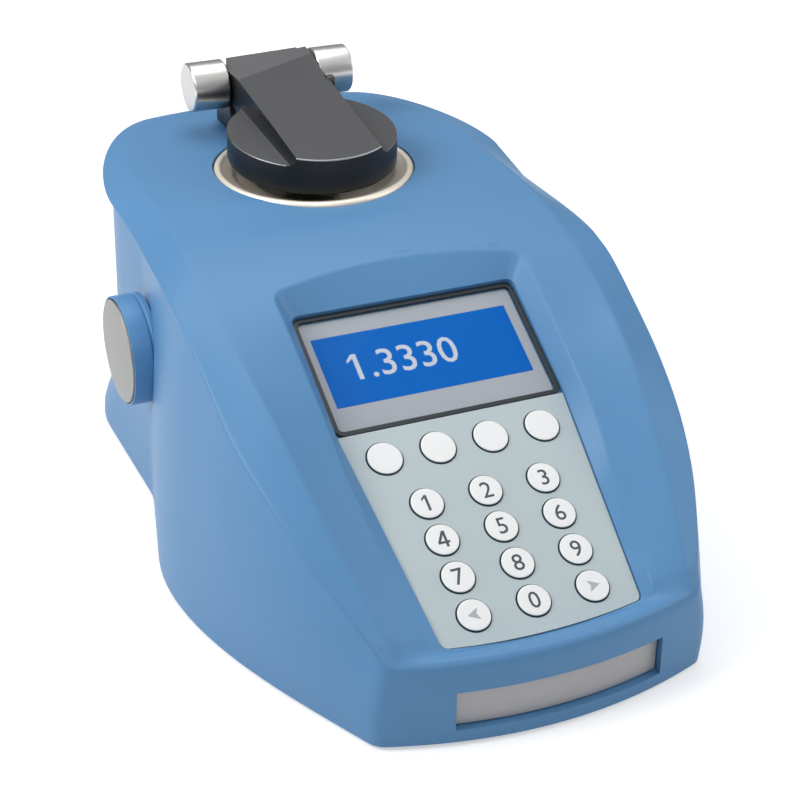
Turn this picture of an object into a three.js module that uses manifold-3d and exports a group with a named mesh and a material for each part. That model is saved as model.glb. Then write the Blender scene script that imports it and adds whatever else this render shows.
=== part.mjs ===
// Bench-top digital refractometer, in millimetres, Z up.
// X runs across the instrument, Y from its front to its back. The origin is on the
// bench, under the middle of the base.
import * as THREE from "three";
import { mergeVertices } from "three/addons/utils/BufferGeometryUtils.js";
import Module from "manifold-3d";

// Housing
const half_width = 82.1;
const half_depth = 129.2;
const rear_wall_share = 0.972;
const plateau_height = 100;
const wall = 3;
const wall_swell = 2;
const foot_lift = 1.5;
const fit_gap = 0.3;
const overrun = 4;

// Keypad face
const face_rise_share = 0.7162;
const face_slope = Math.atan2(face_rise_share * plateau_height, half_depth);
const face_share = -0.6006;
const face_height_share = 0.482;
const face_y = half_depth * face_share;
const face_z = plateau_height * face_height_share;
const face_top = 70.9;
const face_bottom = 45.4;
const face_bow = 2;
const face_top_half = 37.4;
const face_bottom_half = 31.9;
const face_corner = 3;
const label_thickness = 1;
const rim_side = 4.3;
const rim_side_depth = 7;
const rim_foot = 2.5;
const rim_foot_side = 3.2;
const rim_foot_depth = 1.9;
const rim_head = 14.9;
const rim_head_end = 8.3;
const rim_head_side = 0.2;
const rim_end_depth = 4.2;
const rim_head_depth = 2;
const rim_step = 0.8;
const rim_head_step = 2.5;

// Display
const display_foot = 27.6;
const display_border = 2.2;
const display_corner = 1.5;
const display_height = 7;
const glass_inset = 2.5;

// Keys
const key_pitch = 19;
const row_pitch = 12.5;
const soft_pitch = 17.3;
const soft_row = 17.4;
const key_radius = 4.95;
const soft_key_radius = 5.35;
const key_ring = 0.45;
const key_rise = 0.7;
const key_edge = 0.35;
const key_flange = 0.6;
const key_flange_height = 1;
const key_travel = 0.8;
const board_thickness = 1.6;
const dome_radius = 2;
const key_sides = 14;

// Front plate
const plate_half = 32.7;
const plate_shift = 2.2;
const plate_foot = 4.5;
const plate_height = 11.9;
const plate_thickness = 0.7;
const pocket_depth = 3.4;
const pocket_margin = 0.5;
const pocket_back = 1.6;

// Sample dish
const dish_share = 0.4621;
const dish_y = half_depth * dish_share;
const dish_radius = 34;
const dish_proud = 0.1;
const dish_lip = plateau_height + dish_proud;
const dish_flange = 2.9;
const dish_spigot = 28.2;
const dish_bowl_depth = 5.9;
const dish_floor = 2;
const dish_window = 7.2;
const collar_wall = 4;
const seal_height = 0.6;

// Optics under the dish
const prism_half_top = 10;
const prism_half_foot = 5;
const prism_height = 10;
const prism_half_width = 6;
const optics_half_width = 20;
const optics_half_depth = 26;
const optics_height = 26;
const bore_slope = THREE.MathUtils.degToRad(25);
const bore_radius = 4.3;
const lamp_near = 20;
const sensor_near = 24;
const boards_far = 32.5;
const optic_board = 13;
const lens_near = 15;
const lens_thickness = 3;
const peltier_side = 30;
const peltier_height = 3.6;
const sink_width = 50;
const sink_depth = 56;
const sink_height = 22;
const sink_base = 4;
const sink_fin = 1.6;
const sink_fins = 9;

// Hinge and lid
const hinge_reach = 44.1;
const hinge_y = dish_y + hinge_reach;
const hinge_rise = 16.5;
const hinge_z = plateau_height + hinge_rise;
const pin_radius = 4;
const pin_half = 27;
const barrel_radius = 8.55;
const barrel_end = 29.5;
const ear_face = 16.3;
const ear_thickness = 2.8;
const ear_radius = 9.1;
const bracket_base = 3;
const bracket_half_depth = 9;
const bracket_screw_offset = 7;
const small_screw_head = 2.2;
const small_screw_length = 2.2;
const lid_shift = 1.2;
const lid_y = dish_y + lid_shift;
const lid_radius = 28.7;
const lid_clearance = 2;
const lid_thickness = 7.3;
const lid_bottom = plateau_height + lid_clearance;
const lid_crescent = lid_bottom + lid_thickness;
const lid_edge = 1.2;
const arm_step = 2.7;
const arm_front_height = lid_crescent + arm_step;
const arm_slope_share = 0.16;
const arm_half = 14.5;
const arm_rear_half = 13.2;
const arm_hub = 8;
const arm_rear = 6.2;
const arm_waist = 5.2;
const presser_radius = 9;
const presser_flange = 14;
const presser_height = 5.3;
const presser_flange_height = 1.6;
const nub_back = 15.5;
const nub_rise = 1.3;
const nub_radius = 2.3;
const nub_height = 1.8;

// Side cap
const cap_share = 0.2121;
const cap_y = half_depth * cap_share;
const cap_height_share = 0.6;
const cap_z = plateau_height * cap_height_share;
const cap_inset = 1.6;
const cap_face = half_width - cap_inset;
const cap_disc_radius = 16.8;
const cap_disc_thickness = 1;
const cap_disc_proud = 0.5;
const cap_rim = 1;
const cap_stand = 9.6;
const cap_seat = cap_face - cap_stand;
const cap_pocket = 0.8;
const cap_collar = 9;
const canister_radius = 12.6;
const canister_length = 31;

// Rear panel and its ports
const panel_half = 38;
const panel_foot = 10;
const panel_height = 36;
const panel_thickness = 2;
const panel_inset = 3.6;
const panel_ledge = 3;
const bay_wall = 3.4;
const inlet_x = -24;
const inlet_radius = 5.6;
const inlet_socket = 3.1;
const inlet_socket_depth = 8;
const inlet_pin = 1;
const inlet_length = 12;
const inlet_flange = 7.2;
const inlet_flange_height = 1.4;
const port_x = 2;
const port_half = 15.4;
const port_height = 12.5;
const port_shell_half = 8.6;
const port_shell_height = 8.4;
const port_proud = 3.2;
const port_depth = 9;
const switch_x = 27;
const switch_half = 6.5;
const switch_height = 19;
const switch_depth = 16;
const switch_bezel = 1.4;
const rocker_half = 4.4;
const rocker_height = 13;
const rocker_depth = 6;
const rocker_throw = 10;

// Base, feet and screws
const base_thickness = 2.4;
const base_lift = 0.4;
const base_clearance = 1.2;
const foot_radius = 7;
const foot_front_share = 0.4385;
const foot_rear_share = 0.6334;
const foot_x_front = half_width * foot_front_share;
const foot_x_rear = half_width * foot_rear_share;
const foot_front_end_share = -0.8235;
const foot_rear_end_share = 0.6238;
const foot_y_front = half_depth * foot_front_end_share;
const foot_y_rear = half_depth * foot_rear_end_share;
const foot_chamfer = 0.6;
const boss_radius = 5;
const boss_bore = 2.1;
const boss_rib = 2;
const boss_front_share = 0.622;
const boss_rear_share = 0.7308;
const boss_x_front = half_width * boss_front_share;
const boss_x_rear = half_width * boss_rear_share;
const boss_front_end_share = -0.806;
const boss_rear_end_share = 0.531;
const boss_y_front = half_depth * boss_front_end_share;
const boss_y_rear = half_depth * boss_rear_end_share;
const boss_top_front = 21;
const boss_top_rear = 30;
const screw_head = 3.4;
const screw_head_height = 1.6;
const screw_shank = 1.8;
const screw_length = 14;
const screw_clearance = 0.35;
const mainboard_width_share = 0.548;
const mainboard_depth_share = 1.006;
const mainboard_end_share = -0.1037;
const mainboard_half_width = half_width * mainboard_width_share;
const mainboard_depth = half_depth * mainboard_depth_share;
const mainboard_y = half_depth * mainboard_end_share;
const mainboard_lift = 6;
const standoff_radius = 3;
const standoff_inset = 6;

// Mesh fineness, in counts
const round_sides = 32;
const small_sides = 12;
const dome_sides = 6;
const corner_steps = 2;
const plate_steps = 8;

// Plan and edge loops of the housing. Each row is one stretch of half an outline, from
// the front middle round the right side to the rear middle: x as a share of the half
// width, y of the half depth and z of the plateau height.
const base_loop_shares = [
  [[0, -1, 0], [0.3045, -1, 0], [0.5895, -0.935, 0]],
  [[0.6407, -0.9226, 0], [0.6687, -0.8808, 0]],
  [[0.782, -0.7245, 0], [1, -0.4536, 0], [1, -0.1896, 0]],
  [[1, -0.113, 0], [0.9744, -0.0433, 0]],
  [[0.8526, 0.2515, 0]],
  [[0.8526, 0.6533, 0]],
  [[0.8526, 0.887, 0], [0.5116, 0.9582, 0]],
  [[0.2436, 0.9721, 0], [0, 0.9721, 0]],
];
const eave_loop_shares = [
  [[0, -0.9961, 0.243], [0.3045, -0.9961, 0.243], [0.5676, -0.9342, 0.243]],
  [[0.6175, -0.9226, 0.248], [0.6358, -0.8878, 0.294]],
  [
    [0.6894, -0.8173, 0.37],
    [0.76, -0.7121, 0.47],
    [0.8185, -0.5836, 0.57],
    [0.8648, -0.4234, 0.67],
    [0.8745, -0.2841, 0.77],
    [0.8819, -0.1347, 0.864],
    [0.8794, -0.0495, 0.894],
  ],
  [[0.8733, 0.0356, 0.902], [0.8563, 0.113, 0.905]],
  [[0.8234, 0.2988, 0.913]],
  [[0.8234, 0.4923, 0.94]],
  [[0.8185, 0.6316, 0.96], [0.6577, 0.9149, 0.966], [0.4385, 0.9443, 0.966]],
  [[0.2192, 0.969, 0.966], [0, 0.9698, 0.966]],
];
const shoulder_loop_shares = [
  [[0, -0.9954, 0.255], [0.3045, -0.9954, 0.255], [0.5664, -0.9334, 0.255]],
  [[0.6163, -0.9218, 0.262], [0.6334, -0.887, 0.308]],
  [
    [0.687, -0.8173, 0.385],
    [0.7564, -0.7121, 0.485],
    [0.8149, -0.5836, 0.585],
    [0.8611, -0.4234, 0.685],
    [0.8721, -0.2841, 0.784],
    [0.8806, -0.1347, 0.878],
    [0.8819, -0.0495, 0.908],
  ],
  [[0.8819, 0.0356, 0.92], [0.8721, 0.113, 0.923]],
  [[0.8526, 0.2988, 0.93]],
  [[0.8648, 0.4923, 0.966]],
  [[0.8587, 0.6393, 0.988], [0.6882, 0.9435, 0.992], [0.4555, 0.969, 0.992]],
  [[0.2314, 0.9946, 0.992], [0, 0.9954, 0.992]],
];
const crease_loop_shares = [
  [[0, -0.9799, 0.278], [0.3045, -0.9799, 0.278], [0.5311, -0.9272, 0.272]],
  [[0.5652, -0.918, 0.278], [0.5822, -0.8839, 0.324]],
  [
    [0.6175, -0.7848, 0.426],
    [0.6407, -0.7121, 0.492],
    [0.6748, -0.5991, 0.594],
    [0.7138, -0.4234, 0.738],
    [0.7369, -0.2995, 0.808],
    [0.7467, -0.1579, 0.886],
    [0.7479, -0.0263, 0.938],
  ],
  [[0.7515, 0.0511, 0.964], [0.7515, 0.1285, 0.978]],
  [[0.7357, 0.2988, 0.998]],
  [[0.7333, 0.4923, 1]],
  [[0.7357, 0.6393, 1], [0.6334, 0.8916, 1], [0.4312, 0.9427, 1]],
  [[0.2192, 0.9698, 1], [0, 0.9721, 1]],
];
// How many steps each stretch is cut into, outside and inside.
const stretch_steps = [4, 3, 7, 2, 1, 2, 4, 2];
const inner_steps = [3, 2, 4, 2, 1, 1, 3, 2];
// Heights of the wall rings, as shares of the way from the base to the shoulder, and how
// far the rear plan has gone from the boxy heel to the oval at each.
const ring_shares = [0, 0.055, 0.2, 0.33, 1];
const heel_shares = [0, 0.05, 0.6, 0.9, 1];
const inner_ring_shares = [0, 0.2, 1];
const inner_heel_shares = [0, 0.6, 1];
// Rise of the top's middle over the crease, against y: shares of half depth and of height.
const crown_shares = [
  [-0.971, 0],
  [-0.909, -0.025],
  [-0.816, -0.12],
  [-0.723, -0.135],
  [-0.607, -0.125],
  [-0.429, -0.11],
  [-0.289, -0.06],
  [-0.15, -0.03],
  [-0.026, -0.022],
  [0.098, -0.008],
  [0.221, 0],
  [0.995, 0],
];
const crown_columns = 4;
const inner_columns = 2;

const wasm = await Module();
wasm.setup();

// Solids and booleans

function toSolid(geometry) {
  const bare = geometry.index ? geometry.clone() : mergeVertices(geometry);
  bare.deleteAttribute("normal");
  bare.deleteAttribute("uv");
  const merged = mergeVertices(bare);
  return new wasm.Manifold(
    new wasm.Mesh({
      numProp: 3,
      vertProperties: new Float32Array(merged.attributes.position.array),
      triVerts: new Uint32Array(merged.index.array),
    }),
  );
}

function toGeometry(solid) {
  const mesh = solid.getMesh();
  const geometry = new THREE.BufferGeometry();
  geometry.setAttribute("position", new THREE.BufferAttribute(mesh.vertProperties, 3));
  geometry.setIndex(new THREE.BufferAttribute(mesh.triVerts, 1));
  geometry.computeVertexNormals();
  return geometry;
}

function join(first, ...others) {
  return others.reduce((sum, other) => sum.add(toSolid(other)), toSolid(first));
}

function cut(solid, ...tools) {
  return tools.reduce((rest, tool) => rest.subtract(toSolid(tool)), solid);
}

// Shapes

function block(width, depth, height, x = 0, y = 0, z = 0) {
  return new THREE.BoxGeometry(width, depth, height).translate(x, y, z + height / 2);
}

// A round bar standing on z, with its axis along Z.
function post(radius, height, x = 0, y = 0, z = 0, sides = round_sides) {
  const bar = new THREE.CylinderGeometry(radius, radius, height, sides);
  return bar.rotateX(Math.PI / 2).translate(x, y, z + height / 2);
}

// A round bar along X, from x to x + length.
function bar(radius, length, x, y, z, sides = round_sides) {
  const rod = new THREE.CylinderGeometry(radius, radius, length, sides);
  return rod.rotateZ(Math.PI / 2).translate(x + length / 2, y, z);
}

// A turned piece about Z. The profile lists radius and height.
function turned(profile, sides = round_sides) {
  const points = profile.map(([radius, height]) => new THREE.Vector2(radius, height));
  const closed = points[0].x === 0 && points[points.length - 1].x === 0;
  if (!closed) points.push(points[0].clone());
  return new THREE.LatheGeometry(points, sides).rotateX(Math.PI / 2);
}

// A flat outline in the YZ plane, drawn out along X by width, centred on x = 0.
function sideExtrusion(shape, width, steps) {
  const settings = { depth: width, bevelEnabled: false, curveSegments: steps };
  const solid = new THREE.ExtrudeGeometry(shape, settings).translate(0, 0, -width / 2);
  return solid.rotateZ(Math.PI / 2).rotateY(Math.PI / 2);
}

// A flat outline in the XY plane, drawn up from z.
function plate(shape, height, z = 0, steps = corner_steps) {
  const settings = { depth: height, bevelEnabled: false, curveSegments: steps };
  return new THREE.ExtrudeGeometry(shape, settings).translate(0, 0, z);
}

function roundedBox(halfWidth, low, high, corner) {
  const shape = new THREE.Shape();
  shape.moveTo(-halfWidth + corner, low);
  shape.absarc(halfWidth - corner, low + corner, corner, -Math.PI / 2, 0);
  shape.absarc(halfWidth - corner, high - corner, corner, 0, Math.PI / 2);
  shape.absarc(-halfWidth + corner, high - corner, corner, Math.PI / 2, Math.PI);
  shape.absarc(-halfWidth + corner, low + corner, corner, Math.PI, Math.PI * 1.5);
  return shape;
}

// A curve through the points of one stretch: a line, an arc-like Bezier or a spline.
function stretchCurve(points) {
  if (points.length === 2) return new THREE.LineCurve3(...points);
  if (points.length === 3) return new THREE.QuadraticBezierCurve3(...points);
  if (points.length === 4) return new THREE.CubicBezierCurve3(...points);
  return new THREE.CatmullRomCurve3(points);
}

// Samples the stretches of half an outline. Each stretch starts where the last one ends.
function halfLoop(stretches, steps) {
  const points = [stretches[0][0]];
  stretches.forEach((stretch, index) => {
    const through = index === 0 ? stretch : [points[points.length - 1], ...stretch];
    const curve = stretchCurve(through);
    for (let k = 1; k <= steps[index]; k++) points.push(curve.getPoint(k / steps[index]));
  });
  return points;
}

// Adds the mirrored left half to a right half that starts and ends on x = 0.
function mirrored(half) {
  const inner = half.slice(1, -1).reverse();
  return [...half, ...inner.map((p) => new THREE.Vector3(-p.x, p.y, p.z))];
}

// Moves each point of a loop inward in plan by a distance, and down by another.
function insetLoop(loop, inset, drop) {
  const count = loop.length;
  return loop.map((point, index) => {
    const before = loop[(index + count - 1) % count];
    const after = loop[(index + 1) % count];
    const along = new THREE.Vector2(after.x - before.x, after.y - before.y).normalize();
    const x = point.x - along.y * inset;
    const y = point.y + along.x * inset;
    return new THREE.Vector3(x, y, point.z - drop);
  });
}

// A closed skin over rings of equal counts. The first ring is capped flat. The last one
// is capped by capRows when given, or else by its outline in plan.
function skin(rings, capRows) {
  const vertices = [];
  const triangles = [];
  const add = (point) => vertices.push(point) - 1;
  const face = (a, b, c) => {
    if (a !== b && b !== c && a !== c) triangles.push(a, b, c);
  };
  const ids = rings.map((ring) => ring.map(add));
  const count = rings[0].length;
  for (let r = 0; r + 1 < ids.length; r++) {
    for (let i = 0; i < count; i++) {
      const next = (i + 1) % count;
      face(ids[r][i], ids[r][next], ids[r + 1][next]);
      face(ids[r][i], ids[r + 1][next], ids[r + 1][i]);
    }
  }
  const flat = (ring) => ring.map((p) => new THREE.Vector2(p.x, p.y));
  for (const [a, b, c] of THREE.ShapeUtils.triangulateShape(flat(rings[0]), [])) {
    face(ids[0][a], ids[0][c], ids[0][b]);
  }
  const last = ids[ids.length - 1];
  if (capRows) {
    const rows = capRows(rings[rings.length - 1]).map((row, index) => {
      const left = last[(count - index) % count];
      const right = last[index];
      return [left, ...row.map((p) => (p ? add(p) : left)), right];
    });
    for (let i = 0; i + 1 < rows.length; i++) {
      for (let j = 0; j + 1 < rows[i].length; j++) {
        face(rows[i][j], rows[i][j + 1], rows[i + 1][j + 1]);
        face(rows[i][j], rows[i + 1][j + 1], rows[i + 1][j]);
      }
    }
  } else {
    const top = rings[rings.length - 1];
    for (const [a, b, c] of THREE.ShapeUtils.triangulateShape(flat(top), [])) {
      face(last[a], last[b], last[c]);
    }
  }
  const geometry = new THREE.BufferGeometry();
  const flatList = vertices.flatMap((p) => [p.x, p.y, p.z]);
  geometry.setAttribute("position", new THREE.Float32BufferAttribute(flatList, 3));
  geometry.setIndex(triangles);
  return geometry;
}

// Housing skin

function sizedLoop(shares, steps) {
  const sized = shares.map((stretch) =>
    stretch.map(
      ([x, y, z]) => new THREE.Vector3(x * half_width, y * half_depth, z * plateau_height),
    ),
  );
  return halfLoop(sized, steps);
}

// Half of a wall ring, a share of the way up from the base loop to the eave loop. The
// wall swells a little between them, most at half its height on the front half.
function wallRing(share, heelShare, steps) {
  const high_half = sizedLoop(eave_loop_shares, steps);
  const rear_start = steps.slice(0, 5).reduce((sum, count) => sum + count, 0);
  return sizedLoop(base_loop_shares, steps).map((low, i) => {
    const point = low.clone().lerp(high_half[i], i > rear_start ? heelShare : share);
    point.z = THREE.MathUtils.lerp(low.z, high_half[i].z, share);
    const fullness = Math.sin(Math.PI * share) * Math.sin((Math.PI * i) / rear_start);
    if (i < rear_start) point.x += wall_swell * fullness;
    return point;
  });
}

function crownAt(y) {
  const share = y / half_depth;
  const above = crown_shares.findIndex(([at]) => at >= share);
  if (above <= 0) return crown_shares[0][1] * plateau_height;
  const [from, low] = crown_shares[above - 1];
  const [to, high] = crown_shares[above];
  return THREE.MathUtils.mapLinear(share, from, to, low, high) * plateau_height;
}

// Rows of points across the top, from the left crease to the right one.
function crownRows(loop, columns) {
  const half = loop.slice(0, loop.length / 2 + 1);
  return half.map((edge, index) => {
    const ends = index === 0 || index === half.length - 1;
    return Array.from({ length: columns - 1 }, (_, j) => {
      if (ends) return null;
      const across = (2 * (j + 1)) / columns - 1;
      const rise = crownAt(edge.y) * (1 - across * across);
      return new THREE.Vector3(edge.x * across, edge.y, edge.z + rise);
    });
  });
}

function outerSkin() {
  const rings = ring_shares.map((share, index) =>
    mirrored(wallRing(share, heel_shares[index], stretch_steps)),
  );
  rings.push(mirrored(sizedLoop(shoulder_loop_shares, stretch_steps)));
  rings.push(mirrored(sizedLoop(crease_loop_shares, stretch_steps)));
  return skin(rings, (loop) => crownRows(loop, crown_columns));
}

// The skin a wall thickness further in. It runs out below the base.
function innerSkin() {
  const rings = inner_ring_shares.map((share, index) => {
    const ring = mirrored(wallRing(share, inner_heel_shares[index], inner_steps));
    return insetLoop(ring, wall, (share * wall) / 2);
  });
  const crease = mirrored(sizedLoop(crease_loop_shares, inner_steps));
  rings.push(insetLoop(crease, wall * 0.8, wall));
  const below = rings[0].map((point) => point.clone().setZ(-overrun));
  return skin([below, ...rings], (loop) => crownRows(loop, inner_columns));
}

// Keypad face: local x across, y up the face, z out of it

const face_frame = new THREE.Matrix4()
  .makeRotationX(face_slope)
  .setPosition(0, face_y, face_z);

const onFace = (geometry) => geometry.applyMatrix4(face_frame);

const face_steps = [3, 3, 1, 1, 3, 4];

// Half of the label's outline at one height, from its foot to its head.
function labelHalf(grow, height, headHeight = height) {
  const at = (x, y, z = height) => new THREE.Vector3(x, y, z);
  const foot = -face_bottom - grow;
  const head = face_top + grow;
  const low = face_bottom_half + grow;
  const high = face_top_half + grow;
  return halfLoop(
    [
      [at(0, foot - face_bow), at(low / 2, foot - face_bow), at(low - face_corner, foot)],
      [at(low, foot), at(low, foot + face_corner)],
      [at(high, display_foot)],
      [at(high, head - face_corner, headHeight)],
      [at(high, head, headHeight), at(high - face_corner, head, headHeight)],
      [at(0, head, headHeight)],
    ],
    face_steps,
  );
}

// Half of the outline where the pocket's bevels meet the housing's top.
function rimHalf(grow) {
  const at = (x, y, z) => new THREE.Vector3(x, y, z);
  const foot = -face_bottom - rim_foot - grow;
  const head = face_top + grow;
  const low = face_bottom_half + rim_foot_side + grow;
  const high = face_top_half + rim_side + grow;
  const end = face_top_half + rim_head_side + grow;
  const corner = head + rim_head_end;
  const mid_depth = (rim_side_depth + rim_end_depth) / 2;
  return halfLoop(
    [
      [
        at(0, foot - face_bow, rim_foot_depth),
        at(low / 2, foot - face_bow, rim_foot_depth),
        at(low - 2 * face_corner, foot, rim_foot_depth),
      ],
      [
        at(low, foot + face_corner / 2, rim_foot_depth),
        at(low, foot + 3 * face_corner, rim_foot_depth),
      ],
      [at(high, display_foot, rim_side_depth)],
      [at(high, head, mid_depth)],
      [at(high, corner, rim_end_depth), at(end, corner + face_corner / 2, rim_end_depth)],
      [at(end / 2, head + rim_head, rim_head_depth), at(0, head + rim_head, rim_head_depth)],
    ],
    face_steps,
  );
}

// The pocket above the label, or with grow the pan that carries it.
function facePocket(grow) {
  const floor = mirrored(labelHalf(grow + fit_gap, -label_thickness - fit_gap - grow));
  const step = mirrored(labelHalf(grow + fit_gap, rim_step - grow, rim_head_step - grow));
  const rim = mirrored(rimHalf(grow));
  const beyond = rim.map((point, index) => step[index].clone().lerp(point, 1.5));
  const top = beyond.map((point) => point.clone().setZ(2 * rim_side_depth));
  return onFace(skin([floor, step, rim, beyond, top]));
}

const key_places = [];
for (let row = 0; row < 4; row++) {
  for (let column = 0; column < 3; column++) {
    key_places.push({
      name: ["1 2 3", "4 5 6", "7 8 9", "left 0 right"][row].split(" ")[column],
      x: (column - 1) * key_pitch,
      y: -row * row_pitch,
      radius: key_radius,
    });
  }
}
for (let column = 0; column < 4; column++) {
  key_places.push({
    name: "soft_" + (column + 1),
    x: (column - 1.5) * soft_pitch,
    y: soft_row,
    radius: soft_key_radius,
  });
}

const flangeOf = (key) => key.radius + key_ring + key_flange;
const pan_floor = -label_thickness - fit_gap;
const flange_top = pan_floor;
const flange_bottom = flange_top - key_flange_height;
const pan_bottom = pan_floor - wall;
const board_top = pan_bottom - fit_gap;
const dome_top = flange_bottom - key_travel - fit_gap;

// Openings in the pan for the keys and for the display's glass.
function panOpenings() {
  const flange = key_radius + key_ring + key_flange + fit_gap;
  const soft_flange = soft_key_radius + key_ring + key_flange + fit_gap;
  const depth = 2 * wall + overrun;
  const low = -3 * row_pitch - flange;
  const keys = block(
    2 * (key_pitch + flange),
    flange - low,
    depth,
    0,
    (flange + low) / 2,
    pan_floor - depth + overrun / 4,
  );
  const softs = block(
    2 * (1.5 * soft_pitch + soft_flange),
    2 * soft_flange,
    depth,
    0,
    soft_row,
    pan_floor - depth + overrun / 4,
  );
  const glass = glassShape(glass_inset - fit_gap);
  const display = plate(glass, depth, pan_floor - depth + overrun / 4);
  return [keys, softs, display].map(onFace);
}

function glassShape(inset) {
  const half = face_top_half - display_border - inset;
  const low = display_foot + display_border + inset;
  return roundedBox(half, low, face_top - display_border - inset, display_corner);
}

// Front plate: a stretch of the curved front wall

const front_points = sizedLoop(base_loop_shares.slice(0, 1), [round_sides]);

// How far back the foot of the front wall lies at x.
function frontAt(x) {
  const across = Math.abs(x);
  const next = front_points.findIndex((point) => point.x > across);
  const [from, to] = front_points.slice(next - 1, next + 1);
  return THREE.MathUtils.mapLinear(across, from.x, to.x, from.y, to.y);
}

// A curved slab between two depths behind the front wall's foot.
function frontSlab(half, low, high, nearDepth, farDepth) {
  const outline = Array.from({ length: plate_steps + 1 }, (_, k) => {
    const x = plate_shift + half * ((2 * k) / plate_steps - 1);
    return new THREE.Vector2(x, frontAt(x));
  });
  const near = outline.map(({ x, y }) => new THREE.Vector2(x, y + nearDepth));
  const far = outline.map(({ x, y }) => new THREE.Vector2(x, y + farDepth)).reverse();
  return plate(new THREE.Shape([...near, ...far]), high - low, low);
}

// Upper housing

const bosses = [-1, 1].flatMap((side) => [
  { side, x: side * boss_x_front, y: boss_y_front, top: boss_top_front },
  { side, x: side * boss_x_rear, y: boss_y_rear, top: boss_top_rear },
]);

// A screw boss and the rib that ties it to the side wall.
function bossParts({ side, x, y, top }) {
  const foot = base_top + fit_gap;
  const column = post(boss_radius, top - foot, x, y, foot, small_sides);
  const rib_length = half_width - Math.abs(x);
  const rib_middle = x + (side * rib_length) / 2;
  return [column, block(rib_length, boss_rib, top - foot, rib_middle, y, foot)];
}

const base_top = base_lift + base_thickness;
const collar_floor = dish_lip - dish_flange - fit_gap - seal_height - fit_gap;
const bowl = dish_lip - dish_bowl_depth;
const dish_under = bowl - dish_floor;
const rear_wall = half_depth * rear_wall_share;
const panel_face = rear_wall - panel_inset;
const panel_back = panel_face - panel_thickness;
const bay_foot = panel_foot - bay_wall;
const bay_height = panel_height + 2 * bay_wall;
const cap_floor = cap_seat - cap_pocket + fit_gap;

function upperHousing() {
  const outer = toSolid(outerSkin());
  const shell = outer.subtract(toSolid(innerSkin()));
  const inner_parts = join(
    facePocket(wall),
    post(
      dish_radius + fit_gap + collar_wall,
      plateau_height - dish_under,
      0,
      dish_y,
      dish_under,
    ),
    bar(canister_radius + fit_gap + collar_wall, cap_collar, -cap_floor, cap_y, cap_z),
    block(
      2 * (panel_half + bay_wall),
      panel_inset + panel_thickness + panel_ledge + overrun,
      bay_height,
      0,
      panel_back - panel_ledge + (panel_inset + panel_thickness + panel_ledge + overrun) / 2,
      bay_foot,
    ),
    frontSlab(
      plate_half + pocket_margin + wall,
      base_top + fit_gap,
      plate_foot + plate_height + pocket_margin + wall,
      0,
      pocket_depth + pocket_back,
    ),
    ...bosses.flatMap(bossParts),
  );
  return cut(
    shell.add(inner_parts.intersect(outer)),
    facePocket(0),
    ...panOpenings(),
    post(dish_radius + fit_gap, overrun + dish_flange, 0, dish_y, collar_floor),
    post(dish_spigot + fit_gap, 3 * overrun, 0, dish_y, dish_under - overrun),
    frontSlab(
      plate_half + pocket_margin,
      plate_foot - pocket_margin,
      plate_foot + plate_height + pocket_margin,
      -overrun,
      pocket_depth,
    ),
    bar(
      canister_radius + fit_gap,
      2 * cap_collar + overrun,
      -cap_floor - overrun,
      cap_y,
      cap_z,
    ),
    bar(
      cap_disc_radius + cap_rim + fit_gap,
      overrun + cap_face - cap_seat,
      -cap_face - overrun,
      cap_y,
      cap_z,
    ),
    plate(
      roundedBox(
        panel_half + fit_gap,
        panel_foot - fit_gap,
        panel_foot + panel_height + fit_gap,
        display_corner,
      ),
      overrun + panel_inset + panel_thickness + fit_gap,
    )
      .rotateX(Math.PI / 2)
      .translate(0, rear_wall + overrun, 0),
    block(
      2 * (panel_half - panel_ledge),
      half_depth,
      panel_height - 2 * panel_ledge,
      0,
      half_depth,
      panel_foot + panel_ledge,
    ),
    ...bosses.map((boss) =>
      post(boss_bore, screw_length, boss.x, boss.y, base_top - overrun / 2, small_sides),
    ),
  );
}

// Assembly

const materials = {
  housing_blue: ["#729dca", 0.45, 0],
  label_grey: ["#b2c0c4", 0.5, 0],
  key_white: ["#f2f3f4", 0.4, 0],
  bezel_dark: ["#3b474c", 0.4, 0],
  display_glass: ["#1469c3", 0.15, 0],
  board_green: ["#2f6b45", 0.6, 0],
  plate_grey: ["#a0a2a5", 0.35, 0.8],
  steel: ["#beb6aa", 0.25, 1],
  polished_steel: ["#c9cbcd", 0.15, 1],
  lid_black: ["#2a2b2d", 0.35, 0],
  rubber_black: ["#1d1d1e", 0.8, 0],
  sapphire: ["#dfe9f2", 0.05, 0],
  aluminium: ["#b5b8ba", 0.4, 0.9],
  ceramic_white: ["#e6e6e2", 0.5, 0],
  plastic_black: ["#26282a", 0.5, 0],
};

function piece(name, shape, material) {
  const geometry = shape.isBufferGeometry ? shape : toGeometry(shape);
  const [color, roughness, metalness] = materials[material];
  const look = new THREE.MeshStandardMaterial({ color, roughness, metalness });
  const mesh = new THREE.Mesh(geometry, look);
  mesh.name = name;
  return mesh;
}

const instrument = new THREE.Group();
instrument.name = "refractometer";
instrument.position.z = foot_lift;
instrument.add(piece("upper_housing", upperHousing(), "housing_blue"));

// Keypad face pieces
const face = new THREE.Group();
face.position.set(0, face_y, face_z);
face.rotation.x = face_slope;
instrument.add(face);

function labelShape(inset) {
  const outline = mirrored(labelHalf(-inset, 0));
  const below = outline.filter((point) => point.y < display_foot - fit_gap);
  const right = below.filter((point) => point.x >= 0);
  const left = below.filter((point) => point.x < 0);
  const half = face_top_half - inset;
  const corners = [
    new THREE.Vector2(half, display_foot - fit_gap),
    new THREE.Vector2(-half, display_foot - fit_gap),
  ];
  return new THREE.Shape([...right, ...corners, ...left]);
}

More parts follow.
